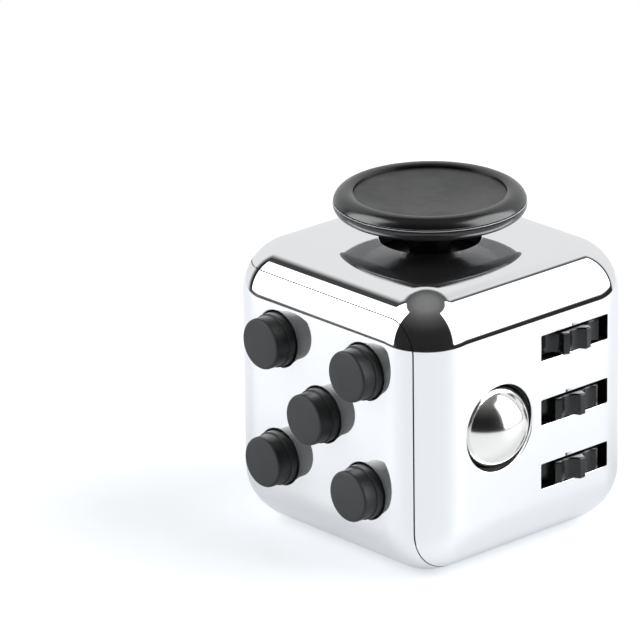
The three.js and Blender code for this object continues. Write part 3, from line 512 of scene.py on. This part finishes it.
def ball_hole():
    """A straight mouth with a rounded edge, a narrower lip and a wider back."""
    lip = HALF - BALL_LIP_DEPTH
    back = BALL_R + BALL_CLEARANCE
    mouth = [(BALL_MOUTH_R + grow, z) for grow, z in lip_levels(BALL_MOUTH_EDGE)]
    return turned([
        (0, INNER - BEYOND),
        (back, INNER - BEYOND),
        (back, INNER + BALL_LIP_SLOPE),
        (BALL_LIP_R, lip - BALL_LIP_SLOPE),
        (BALL_LIP_R, lip),
        (BALL_MOUTH_R, lip + BALL_LIP_SLOPE),
        *mouth,
        (0, HALF + BEYOND),
    ])


def roll_side_shell():
    """The half with the top, right and back faces: thumb stick, ball and wheels, and dial."""
    rim = keep(case_wall(), inside_seam(SEAM_INSET + SEAM_GAP))
    wall = cut(rim, lap_block(LAP_EDGE + SEAM_GAP))
    outside = rounded_cube(-HALF, HALF, FILLET)
    additions = []
    holes = [round_hole(STICK_HOLE_R), moved(shifted(ball_hole(), BALL.y, BALL.z), RIGHT)]
    for side in (-1, 1):
        additions.append(keep(boss(side * GLIDE_SCREW_X, 0, GLIDE_BOSS_FOOT), outside))
        holes.append(pilot_hole(side * GLIDE_SCREW_X, 0, GLIDE_BOSS_FOOT, GLIDE_PILOT_END))
        cradle = (-CRADLE_SCREW_X, side * WHEELS[0].z / 2)
        additions.append(moved(boss(*cradle, CRADLE_PLATE_OUT + SEAT_GAP), BACK))
        holes.append(moved(pilot_hole(*cradle, CRADLE_PLATE_OUT, PILOT_END), BACK))
        bracket = (BALL.y, side * BRACKET_SCREW_Z)
        additions.append(moved(boss(*bracket, EAR_TOP + SEAT_GAP), RIGHT))
        holes.append(moved(pilot_hole(*bracket, EAR_TOP, PILOT_END), RIGHT))
    for place in WHEELS:
        slot = hole(SLOT_LENGTH / 2, SLOT_HEIGHT / 2, SLOT_CORNER, SLOT_LIP)
        holes.append(moved(shifted(slot, place.y, place.z), RIGHT))
        reach = SLOT_LENGTH / 2 + WHEEL_ROOM_ENDS
        relief = WHEEL_THICK / 2 + WHEEL_ROOM_SIDES
        holes.append(block(INNER - BEYOND, HALF - SLOT_WALL, place.y - reach, place.y + reach,
                           place.z - relief, place.z + relief))
    holes.append(moved(round_hole(DIAL_RECESS_R, foot=HALF - DIAL_RECESS), BACK))
    holes.append(moved(rod(HUB_R + HUB_GAP, INNER - BEYOND, HALF + BEYOND), BACK))
    return cut(join(wall, *additions), *holes)


def set_case_normals(mesh):
    """Exact normals on the outer skin, so that its reflections run clean over flats and fillets."""
    mesh.shade_smooth()
    mesh.set_sharp_from_angle(angle=CREASE)
    count = len(mesh.loops)
    normals = np.zeros(count * 3)
    mesh.corner_normals.foreach_get("vector", normals)
    normals = normals.reshape(-1, 3)
    points = np.zeros(len(mesh.vertices) * 3)
    mesh.vertices.foreach_get("co", points)
    points = points.reshape(-1, 3)
    corner_vertex = np.zeros(count, int)
    mesh.loops.foreach_get("vertex_index", corner_vertex)
    core = HALF - FILLET
    for face in mesh.polygons:
        centre = np.array(face.center)
        outward = centre - np.clip(centre, -core, core)
        length = np.linalg.norm(outward)
        leans = outward @ np.array(face.normal) < length * math.cos(SKIN_ANGLE)
        if leans or abs(length - FILLET) > SKIN_TOLERANCE:
            continue
        for corner in face.loop_indices:
            point = points[corner_vertex[corner]]
            outward = point - np.clip(point, -core, core)
            normals[corner] = outward / np.linalg.norm(outward)
    mesh.normals_split_custom_set([tuple(normal) for normal in normals])


# ---------------------------------------------------------------------------------------------
# Small pieces
# ---------------------------------------------------------------------------------------------


def button():
    """A button with its collar, flange and stub, drawn about the Z axis."""
    top = HALF + BUTTON_OUT
    flange_top = INNER - FLANGE_GAP
    stub_end = flange_top - 2 * FLANGE_THICK
    return turned(rounded([
        (0, stub_end, 0),
        (STUB_R, stub_end, STUB_EDGE),
        (STUB_R, flange_top - FLANGE_THICK, 0),
        (FLANGE_R, flange_top - FLANGE_THICK, SOFT_EDGE),
        (FLANGE_R, flange_top, SOFT_EDGE),
        (COLLAR_R, flange_top, 0),
        (COLLAR_R, HALF + COLLAR_OUT, SOFT_EDGE),
        (BUTTON_R, HALF + COLLAR_OUT, SOFT_EDGE / 2),
        (BUTTON_R, top, BUTTON_EDGE),
        (0, top, 0),
    ]))


def rim_angle(z):
    """Where the round rim has reached height z, in degrees from outward horizontal."""
    return math.degrees(math.asin((z - CAP_WIDEST_Z) / CAP_TOP_R))


def rim_arc(section_r, from_angle, to_angle, steps):
    """Points of the cap's round rim between two angles from outward horizontal."""
    middle_r = CAP_R - section_r
    points = []
    for step in range(steps + 1):
        angle = math.radians(from_angle + (to_angle - from_angle) * step / steps)
        points.append((middle_r + section_r * math.cos(angle), CAP_WIDEST_Z + section_r * math.sin(angle)))
    return points


def thumb_ring():
    """The round upper part of the rim, with a skirt that sits in the base."""
    line = CAP_SPLIT + CAP_LINE / 2
    inner = PAD_R + SKIRT_GAP
    inner_angle = math.degrees(math.acos((inner - CAP_R + CAP_TOP_R) / CAP_TOP_R))
    rim = rim_arc(CAP_TOP_R, rim_angle(line + CAP_EDGE), inner_angle, 32)
    bevel = (rim[0][0] - CAP_EDGE, line)
    return turned([(inner, PAD_FOOT), (SKIRT_R, PAD_FOOT), (SKIRT_R, line), bevel, *rim])


def thumb_pad():
    """A dished disc that is set into the ring."""
    profile = [(0, PAD_FOOT), (PAD_R, PAD_FOOT)]
    steps = 16
    for step in range(steps + 1):
        share = 1 - step / steps
        profile.append((PAD_R * share, PAD_Z - PAD_DISH * (1 - share ** 2)))
    return turned(profile)


def thumb_base():
    """The underside of the cap and its stem, with a recess for the ring's skirt."""
    line = CAP_SPLIT - CAP_LINE / 2
    floor = PAD_FOOT - SKIRT_GAP
    at_base, at_foot, at_edge = FLARE_ROUNDINGS
    under = rounded([
        (0, STEM_FOOT, 0),
        (STEM_R, STEM_FOOT, 0),
        (STEM_R, FLARE_BASE_Z, at_base),
        (FLARE_FOOT_R, FLARE_FOOT_Z, at_foot),
        (FLARE_EDGE_R, FLARE_EDGE_Z, at_edge),
        (CAP_R - CAP_UNDER_R - RIM_TANGENT_GAP, CAP_WIDEST_Z - CAP_UNDER_R, 0),
    ])
    under += rim_arc(CAP_UNDER_R, -90, 0, 16)
    edge = rim_arc(CAP_TOP_R, 0, rim_angle(line - CAP_EDGE), 4)[1:]
    bevel = (edge[-1][0] - CAP_EDGE, line)
    recess = [(SKIRT_R + SKIRT_GAP, line), (SKIRT_R + SKIRT_GAP, floor), (0, floor)]
    body = turned([*under, *edge, bevel, *recess])
    return cut(body, rod(PILOT_R, STEM_FOOT - BEYOND, STEM_PILOT_DEEP, PILOT_SIDES))


def tooth_outline(phase, inset, steps=12):
    """Narrow teeth with scooped valleys between them, drawn inset from their outline."""
    tip = WHEEL_R - inset
    valley = WHEEL_R - TOOTH_DEPTH - inset
    land = math.radians(TOOTH_LAND) / 2
    pitch = 2 * math.pi / TOOTH_COUNT
    half_chord = tip * math.sin(pitch / 2 - land)
    chord_r = tip * math.cos(pitch / 2 - land)
    sag = chord_r - valley
    scoop_r = (half_chord ** 2 + sag ** 2) / (2 * sag)
    reach = math.atan2(half_chord, scoop_r - sag)
    points = []
    for tooth in range(TOOTH_COUNT):
        middle_angle = math.radians(phase) + pitch * (tooth + 0.5)
        for step in range(steps + 1):
            turn = math.pi + reach - 2 * reach * step / steps
            x = valley + scoop_r + scoop_r * math.cos(turn)
            y = scoop_r * math.sin(turn)
            points.append((
                x * math.cos(middle_angle) - y * math.sin(middle_angle),
                x * math.sin(middle_angle) + y * math.cos(middle_angle),
            ))
    return points


def wheel(phase):
    """A toothed wheel with rounded edges."""
    flat = WHEEL_THICK / 2 - WHEEL_EDGE
    steps = 4
    levels = []
    for side in (-1, 1):
        for step in range(steps + 1):
            turn = math.radians(90 * step / steps)
            height = flat + WHEEL_EDGE * math.sin(turn)
            levels.append((side * height, WHEEL_EDGE * (1 - math.cos(turn))))
    rings = [[(x, y, z) for x, y in tooth_outline(phase, inset)] for z, inset in sorted(levels)]
    return cut(loft(rings), rod(SHAFT_BORE_R, -WHEEL_THICK, WHEEL_THICK, BORE_SIDES))


def rocker():
    """A rocker about its pin, with a saddle between its two ends. Drawn in the left face's frame."""
    reach = HALF + ROCKER_OUT + PIN.x
    corner = math.asin(reach / ROCKER_R) - math.radians(ROCKER_TILT)
    steps = 12
    end = []
    for step in range(steps + 1):
        angle = ROCKER_END_START + (corner - ROCKER_END_START) * step / steps
        end.append((ROCKER_R * math.cos(angle), ROCKER_R * math.sin(angle), 0))
    saddle_z = ROCKER_R * math.sin(corner) - SADDLE_DEPTH
    saddle = [(SADDLE_REACH, saddle_z, SADDLE_R), (-SADDLE_REACH, saddle_z, SADDLE_R)]
    nose = [(-NOSE_REACH, NOSE_Z, 0), (NOSE_REACH, NOSE_Z, 0), (HEEL_REACH, HEEL_Z, 0)]
    mirrored = [(-y, z, 0) for y, z, _ in reversed(end)]
    shape = rounded([*nose, *end, *saddle, *mirrored, (-HEEL_REACH, HEEL_Z, 0)])
    half = ROCKER_WIDTH / 2
    body = loft([[(x, y, z) for y, z in shape] for x in (-half, half)])
    work = bmesh.new()
    work.from_mesh(body)
    edges = [edge for edge in work.edges if edge.calc_face_angle(0) > ROCKER_CREASE]
    bmesh.ops.bevel(work, geom=edges, offset=ROCKER_EDGE, segments=4, profile=0.5,
                    affect="EDGES", clamp_overlap=True)
    work.to_mesh(body)
    work.free()
    across = Matrix.Rotation(math.pi / 2, 4, "Y")
    bore = moved(rod(PIN_BORE_R, -ROCKER_WIDTH, ROCKER_WIDTH, BORE_SIDES), across)
    tilt = Matrix.Rotation(math.radians(ROCKER_TILT), 4, "X")
    return moved(cut(body, bore), LEFT @ Matrix.Translation((0, 0, -PIN.x)) @ tilt)


def spin_dial():
    """A dished disc with a finger hollow near its edge. Drawn in the back face's frame."""
    top = HALF + DIAL_OUT
    floor = top - DIAL_DISH
    rim_inside = DIAL_R - DIAL_RIM
    at_foot, at_outer_edge, at_inner_edge, at_dish = DIAL_ROUNDINGS
    body = turned(rounded([
        (0, HUB_END, 0),
        (HUB_R, HUB_END, 0),
        (HUB_R, DIAL_FOOT, 0),
        (DIAL_R, DIAL_FOOT, at_foot),
        (DIAL_R, top, at_outer_edge),
        (rim_inside, top, at_inner_edge),
        (rim_inside - DIAL_RIM_SLOPE, floor, at_dish),
        (0, floor, 0),
    ]))
    ball_shape = rounded_cube(-HOLLOW_R, HOLLOW_R, HOLLOW_R, SPHERE_STEPS)
    hollow = shifted(ball_shape, 0, HOLLOW_Y, floor + HOLLOW_RISE)
    return moved(cut(body, hollow, rod(PILOT_R, HUB_END - BEYOND, HALF, PILOT_SIDES)), BACK)


# ---------------------------------------------------------------------------------------------
# Materials
# ---------------------------------------------------------------------------------------------


class Shader:
    """A material or world, and short ways to add nodes to it."""

    def __init__(self, owner):
        owner.use_nodes = True
        self.owner = owner
        self.tree = owner.node_tree
        self.tree.nodes.clear()

    def node(self, kind, inputs=None, **settings):
        new = self.tree.nodes.new(kind)
        for key, value in settings.items():
            setattr(new, key, value)
        for key, value in (inputs or {}).items():
            if isinstance(value, bpy.types.NodeSocket):
                self.tree.links.new(value, new.inputs[key])
            else:
                new.inputs[key].default_value = value
        return new

    def math(self, operation, *values):
        inputs = dict(enumerate(values))
        return self.node("ShaderNodeMath", inputs, operation=operation).outputs[0]

    def smooth(self, value, low, high, low_result=0.0, high_result=1.0):
        inputs = {0: value, 1: low, 2: high, 3: low_result, 4: high_result}
        return self.node("ShaderNodeMapRange", inputs, interpolation_type="SMOOTHSTEP").outputs[0]

    def blend(self, share, first, second):
        """A colour between two, by share."""
        inputs = {0: share, 6: first, 7: second}
        return self.node("ShaderNodeMix", inputs, data_type="RGBA").outputs[2]

    def noise(self, scale, detail=2.0, roughness=0.5, distortion=0.0, stretch=(1, 1, 1)):
        """Noise whose features are about 1/scale mm across."""
        place = self.node("ShaderNodeTexCoord").outputs["Object"]
        size = [scale / MM * part for part in stretch]
        mapped = self.node("ShaderNodeMapping", {"Vector": place, "Scale": size}).outputs[0]
        inputs = {"Vector": mapped, "Scale": 1.0, "Detail": detail, "Roughness": roughness,
                  "Distortion": distortion}
        return self.node("ShaderNodeTexNoise", inputs).outputs["Fac"]

    def bump(self, height, strength, distance, under=None):
        inputs = {"Height": height, "Strength": strength, "Distance": distance * MM}
        if under is not None:
            inputs["Normal"] = under
        return self.node("ShaderNodeBump", inputs).outputs[0]


def rgba(red, green=None, blue=None):
    if green is None:
        green, blue = red, red
    return (red, green, blue, 1.0)


def new_material(name):
    material = bpy.data.materials.new(name)
    return material, Shader(material)


def surface(shader, **inputs):
    named = {key.replace("_", " "): value for key, value in inputs.items()}
    principled = shader.node("ShaderNodeBsdfPrincipled", named)
    shader.node("ShaderNodeOutputMaterial", {"Surface": principled.outputs[0]})
    return principled


def metal(name, colour, roughness, smudge, wave, grain):
    """Bright metal: smudges change its gloss, a slow wave and a fine grain bend its reflections."""
    material, shader = new_material(name)
    smudges = shader.noise(0.12, detail=5.0, roughness=0.6)
    gloss = shader.smooth(smudges, 0.35, 0.75, roughness, roughness + smudge)
    slow = shader.bump(shader.noise(0.08, detail=1.0), 1.0, wave)
    fine = shader.bump(shader.noise(12.0, detail=3.0), 1.0, grain, slow)
    surface(shader, Base_Color=rgba(*colour), Metallic=1.0, Roughness=gloss, Normal=fine)
    return material


def chrome_plating():
    """Plating on plastic: a slight haze, more of it on the flat face whose buttons are pressed."""
    material, shader = new_material("chrome plating")
    smudges = shader.noise(0.12, detail=5.0, roughness=0.6)
    gloss = shader.smooth(smudges, 0.35, 0.75, PLATING_GLOSS, 2 * PLATING_GLOSS)
    slow = shader.bump(shader.noise(0.08, detail=1.0), 1.0, PLATING_WAVE)
    fine = shader.bump(shader.noise(12.0, detail=3.0), 1.0, PLATING_GRAIN, slow)
    place = shader.node("ShaderNodeTexCoord").outputs["Object"]
    y = shader.node("ShaderNodeSeparateXYZ", {0: place}).outputs["Y"]
    front = (CENTRE.y - HALF) * MM
    metallic = shader.smooth(y, front, front + FRONT_HAZE_DEPTH * MM, 1 - FRONT_HAZE, 1 - HAZE)
    colour = rgba(0.93, 0.935, 0.945)
    surface(shader, Base_Color=colour, Metallic=metallic, Roughness=gloss, Normal=fine)
    return material


def plastic(name, colour, roughness, grain=0.002, grain_scale=9.0, wear=0.06, specular=0.5):
    """Moulded plastic or rubber: mould grain in the surface, faint handling wear in colour and gloss."""
    material, shader = new_material(name)
    patches = shader.noise(0.25, detail=5.0, roughness=0.65)
    share = shader.smooth(patches, 0.35, 0.7)
    darker = rgba(*[part * (1 - wear) for part in colour])
    lighter = rgba(*[part * (1 + wear) + wear * DUST for part in colour])
    tint = shader.blend(share, darker, lighter)
    gloss = shader.smooth(patches, 0.3, 0.75, roughness - wear, roughness + wear)
    normal = shader.bump(shader.noise(grain_scale, detail=4.0, roughness=0.6), 1.0, grain)
    inputs = {"Base_Color": tint, "Roughness": gloss, "Normal": normal}
    principled = surface(shader, **inputs)
    principled.inputs["Specular IOR Level"].default_value = specular
    return material


def laminate_board():
    """Brown circuit board with a faint weave."""
    material, shader = new_material("switch board laminate")
    weave = shader.noise(3.0, detail=2.0, stretch=(1, 1, 4))
    tint = shader.blend(weave, rgba(0.10, 0.075, 0.03), rgba(0.17, 0.13, 0.055))
    normal = shader.bump(weave, 1.0, 0.01)
    surface(shader, Base_Color=tint, Roughness=0.6, Normal=normal)
    return material


DUST = 0.004  # brightness that full wear adds to a colour
PLATING_GLOSS = 0.03
PLATING_WAVE = 0.004
PLATING_GRAIN = 0.00005
HAZE = 0.012
FRONT_HAZE = 0.12
FRONT_HAZE_DEPTH = 0.4

CHROME = chrome_plating()
POLISHED_STEEL = metal("polished steel ball", (0.95, 0.935, 0.905), 0.15, 0.05, 0.001, 0.0001)
STEEL = metal("bright steel", (0.60, 0.60, 0.61), 0.22, 0.1, 0.002, 0.002)
SPRING_STEEL = metal("spring steel", (0.45, 0.46, 0.48), 0.28, 0.1, 0.002, 0.002)
GLOSS_BLACK = plastic("gloss black plastic", (0.005, 0.005, 0.0055), 0.24, 0.0001, 6.0, 0.04, 0.7)
CHARCOAL = plastic("matt charcoal inlay", (0.017, 0.017, 0.018), 0.42, 0.003, 10.0)
BUTTON_FACE = plastic("button face rubber", (0.015, 0.018, 0.020), 0.62, 0.003, 8.0)
# painted highlight: light grey on the cap's bevels stands in for the glint along its joint line
PAINTED_HIGHLIGHT_EDGE = plastic("black edge with painted highlight", (0.45, 0.45, 0.46), 0.35, 0.001, 8.0)
# button sides: the face's rubber made glossier, and darker in colour as painted shade
BUTTON_SIDE_SHADED = plastic("button side rubber with painted shade", (0.006, 0.0065, 0.007), 0.5, 0.001, 8.0)
MOULDING = plastic("black moulding inside the case", (0.003, 0.003, 0.0033), 0.6, 0.002, 5.0, 0.06, 0.2)
MATT_BLACK = plastic("matt black plastic", (0.006, 0.0065, 0.007), 0.27, 0.0015, 7.0)
NYLON = plastic("natural nylon", (0.62, 0.60, 0.53), 0.45, 0.002, 5.0)
SILICONE = plastic("translucent silicone", (0.50, 0.52, 0.53), 0.4, 0.001, 4.0)
FELT = plastic("grey felt", (0.11, 0.105, 0.10), 0.9, 0.03, 5.0, 0.09)
LAMINATE = laminate_board()

SLOT_MATERIALS = {
    "chrome_plating": CHROME,
    "gloss_black": GLOSS_BLACK,
    "charcoal": CHARCOAL,
    "button_rubber": BUTTON_FACE,
    "matt_black": MATT_BLACK,
    "polished_steel": POLISHED_STEEL,
    "steel": STEEL,
    "spring_steel": SPRING_STEEL,
    "nylon": NYLON,
    "silicone": SILICONE,
    "laminate": LAMINATE,
    "felt": FELT,
}

# ---------------------------------------------------------------------------------------------
# Putting the pieces in the frame
# ---------------------------------------------------------------------------------------------

record = frame["record"]
BODY_OF = {node: body for body, nodes in record["behaviour"]["bodies"].items() for node in nodes}
SLOT_OF = {part["node"]: part["material_slot"] for part in record["subparts"]}


def put(node, mesh, second=None, takes_second=None):
    """Puts a fine mesh in the place of a CAD node, on its body and with its finish.
    Faces for which takes_second is true get the second material."""
    piece = bpy.data.objects.new(f"{node}_visual", mesh)
    mesh.materials.clear()
    mesh.materials.append(SLOT_MATERIALS[SLOT_OF[node]])
    if second is not None:
        mesh.materials.append(second)
        for face in mesh.polygons:
            face.material_index = int(takes_second(face))
    if not mesh.has_custom_normals:
        mesh.shade_smooth()
        mesh.set_sharp_from_angle(angle=CREASE)
    mesh.transform(Matrix.Translation(CENTRE * MM) @ Matrix.Scale(MM, 4))
    bpy.context.scene.collection.objects.link(piece)
    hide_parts(node)
    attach(piece, BODY_OF[node])
    return piece


SIDE_LEAN = 0.6  # faces of a button whose normals have less than this along its axis are its side
PLATED_DEPTH = 0.25  # the plating reaches this far into the holes
PLATED_DEPTH_BALL = 0.7  # and this far into the ball's


def is_unplated(face):
    """True for what lies deep under the case's outer skin."""
    core = HALF - FILLET
    beyond = [max(abs(part) - core, 0) for part in face.center]
    from_ball = math.hypot(face.center.y - BALL.y, face.center.z - BALL.z)
    by_ball = face.center.x > 0 and from_ball < BALL_MOUTH_R + LIP
    return FILLET - Vector(beyond).length > (PLATED_DEPTH_BALL if by_ball else PLATED_DEPTH)


def is_cap_edge(face):
    """True for the bevels on each side of the cap's joint line, which carry the painted highlight."""
    radius = math.hypot(face.center.x, face.center.y)
    near_rim = radius > CAP_R - CAP_RIM_REACH
    return near_rim and abs(face.center.z - CAP_SPLIT) < CAP_LINE / 2 + CAP_EDGE


def is_button_side(face):
    """True for faces that look across the button's axis more than along it."""
    return abs(face.normal.y) < SIDE_LEAN


for node, make in (("click_side_shell", click_side_shell), ("roll_side_shell", roll_side_shell)):
    shell = without_slivers(make())
    set_case_normals(shell)
    put(node, shell, second=MOULDING, takes_second=is_unplated)
for number, place in enumerate(BUTTONS, 1):
    mesh = moved(shifted(button(), place.x, place.z), FRONT)
    # a button's sides get the darker copy of its rubber, which is painted shade
    put(f"button_{number}", mesh, second=BUTTON_SIDE_SHADED, takes_second=is_button_side)
# the bevels at the cap's joint line get the painted highlight colour
put("thumb_ring", thumb_ring(), second=PAINTED_HIGHLIGHT_EDGE, takes_second=is_cap_edge)
put("thumb_pad", thumb_pad())
put("thumb_base", without_slivers(thumb_base()), second=PAINTED_HIGHLIGHT_EDGE, takes_second=is_cap_edge)
for number, (place, phase) in enumerate(zip(WHEELS, TOOTH_PHASES), 1):
    put(f"wheel_{number}", moved(wheel(phase), Matrix.Translation(place)))
put("ball", shifted(rounded_cube(-BALL_R, BALL_R, BALL_R, BALL_STEPS), *BALL))
put("rocker", without_slivers(rocker()))
put("spin_dial", without_slivers(spin_dial()))


def put_soft(node):
    """Puts a piece that gives way to a joint as an unchanged copy of its CAD mesh."""
    source = frame["nodes"][node]
    mesh = source.data.copy()
    to_mm = Matrix.Scale(1 / MM, 4) @ Matrix.Translation(-CENTRE * MM)
    mesh.transform(to_mm @ source.matrix_world)
    piece = put(node, mesh)
    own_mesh(piece)


for number in range(1, len(BUTTONS) + 1):
    dome = f"dome_{number}"
    put_soft(dome)
put_soft("ball_spring")

for node, shown in frame["nodes"].items():
    shown.data.materials.clear()
    shown.data.materials.append(SLOT_MATERIALS[SLOT_OF[node]])

# ---------------------------------------------------------------------------------------------
# Studio
# ---------------------------------------------------------------------------------------------

TABLE_R = 155.0
TABLE_THICK = 2.0
TABLE_GLOW = 0.20
TABLE_GLOW_SEEN = 0.27


def studio_table():
    """White paper. It glows a little, for the light that a studio's walls would add, and more to the
    camera, so that it runs into the white background."""
    mesh = rod(TABLE_R, -TABLE_THICK, 0, 256)
    mesh.transform(Matrix.Scale(MM, 4))
    table = bpy.data.objects.new("table", mesh)
    material, shader = new_material("white table")
    paper = shader.noise(2.0, detail=3.0)
    tint = shader.blend(paper, rgba(0.58, 0.59, 0.61), rgba(0.60, 0.61, 0.625))
    seen = shader.node("ShaderNodeLightPath").outputs["Is Camera Ray"]
    glow = shader.math("MULTIPLY_ADD", seen, TABLE_GLOW_SEEN, TABLE_GLOW)
    daylight = rgba(0.95, 0.975, 1.0)
    surface(shader, Base_Color=tint, Roughness=0.6, Emission_Color=daylight, Emission_Strength=glow)
    mesh.materials.append(material)
    bpy.context.scene.collection.objects.link(table)


SOFTBOX = 5.0
BLUE_TINT = 0.01


def studio_world():
    """Light panels round the table in a dark studio, given by azimuth and elevation in degrees.
    Azimuth 0 is the front, 90 the right and 180 the back. The camera itself sees plain white."""
    world = bpy.data.worlds.new("studio")
    bpy.context.scene.world = world
    shader = Shader(world)
    direction = shader.node("ShaderNodeTexCoord").outputs["Generated"]
    x, y, z = shader.node("ShaderNodeSeparateXYZ", {0: direction}).outputs
    to_front = shader.math("MULTIPLY", y, -1.0)
    azimuth = shader.math("DEGREES", shader.math("ARCTAN2", x, to_front))
    elevation = shader.math("DEGREES", shader.math("ARCSINE", z))

    def panel(azimuths, elevations, soft_sides, soft_ends):
        """A soft-edged share of the sky between two azimuths and two elevations."""
        half_a = (azimuths[1] - azimuths[0]) / 2
        off = shader.math("SUBTRACT", azimuth, azimuths[0] + half_a)
        off = shader.math("ABSOLUTE", shader.math("WRAP", off, -180.0, 180.0))
        across = shader.smooth(off, half_a - soft_sides, half_a + soft_sides, 1.0, 0.0)
        half_e = (elevations[1] - elevations[0]) / 2
        off = shader.math("ABSOLUTE", shader.math("SUBTRACT", elevation, elevations[0] + half_e))
        up = shader.smooth(off, half_e - soft_ends, half_e + soft_ends, 1.0, 0.0)
        return shader.math("MULTIPLY", across, up)

    ramp = shader.node("ShaderNodeValToRGB", {0: shader.math("DIVIDE", elevation, 90.0)})
    # elevation and brightness of the studio's dark ceiling, which is lit from below
    levels = [(0, 0.0125), (23, 0.0125), (32, 0.021), (41, 0.042), (50, 0.066), (59, 0.105), (65, 0.14),
              (71, 0.185), (90, 0.22)]
    stops = ramp.color_ramp.elements
    while len(stops) < len(levels):
        stops.new(0.5)
    for stop, (angle, level) in zip(stops, levels):
        stop.position = angle / 90
        stop.color = rgba(level)
    sky = ramp.outputs[0]
    lights = [
        # azimuths, elevations, soft sides, soft ends, brightness
        ((169, 260), (-40, 52), 2.5, 4, 0.82),
        ((240, 284), (-40, 52), 6, 4, 0.82),
        ((-63, -21), (-5, 56), 1.5, 3, SOFTBOX),
        ((102, 162), (-2, 58), 3, 3, SOFTBOX),
    ]
    for azimuths, elevations, soft_sides, soft_ends, level in lights:
        share = panel(azimuths, elevations, soft_sides, soft_ends)
        sky = shader.blend(share, sky, rgba(level * (1 - BLUE_TINT), level, level * (1 + BLUE_TINT)))
    lit = shader.node("ShaderNodeBackground", {"Color": sky, "Strength": 1.0})
    seen = shader.node("ShaderNodeBackground", {"Color": rgba(1.0), "Strength": 1.0})
    camera_ray = shader.node("ShaderNodeLightPath").outputs["Is Camera Ray"]
    mix = shader.node("ShaderNodeMixShader", {0: camera_ray, 1: lit.outputs[0], 2: seen.outputs[0]})
    shader.node("ShaderNodeOutputWorld", {"Surface": mix.outputs[0]})


CAMERA_AZIMUTH = 46.81
CAMERA_ELEVATION = 21.07
CAMERA_ROLL = -0.34
CAMERA_DISTANCE = 638.6
CAMERA_LENS = 323.9
AIM_LEFT = 12.31  # the camera looks past the cube's centre by this much to its left
AIM_UP = 6.28


def studio_camera():
    azimuth = math.radians(CAMERA_AZIMUTH)
    elevation = math.radians(CAMERA_ELEVATION)
    roll = math.radians(CAMERA_ROLL)
    back = Vector((
        math.sin(azimuth) * math.cos(elevation),
        -math.cos(azimuth) * math.cos(elevation),
        math.sin(elevation),
    ))
    level = Vector((math.cos(azimuth), math.sin(azimuth), 0))
    upright = back.cross(level)
    right = math.cos(roll) * level + math.sin(roll) * upright
    up = math.cos(roll) * upright - math.sin(roll) * level
    place = CENTRE + back * CAMERA_DISTANCE
    target = CENTRE - right * AIM_LEFT + up * AIM_UP
    axis = (place - target).normalized()
    right = (right - axis * right.dot(axis)).normalized()
    data = bpy.data.cameras.new("camera")
    data.lens = CAMERA_LENS
    data.clip_start = 0.01
    data.clip_end = 10.0
    camera = bpy.data.objects.new("camera", data)
    turn = Matrix((right, axis.cross(right), axis)).transposed().to_4x4()
    camera.matrix_world = Matrix.Translation(place * MM) @ turn
    bpy.context.scene.collection.objects.link(camera)
    bpy.context.scene.camera = camera


studio_table()
studio_world()
studio_camera()
bpy.context.scene.view_settings.view_transform = "Standard"
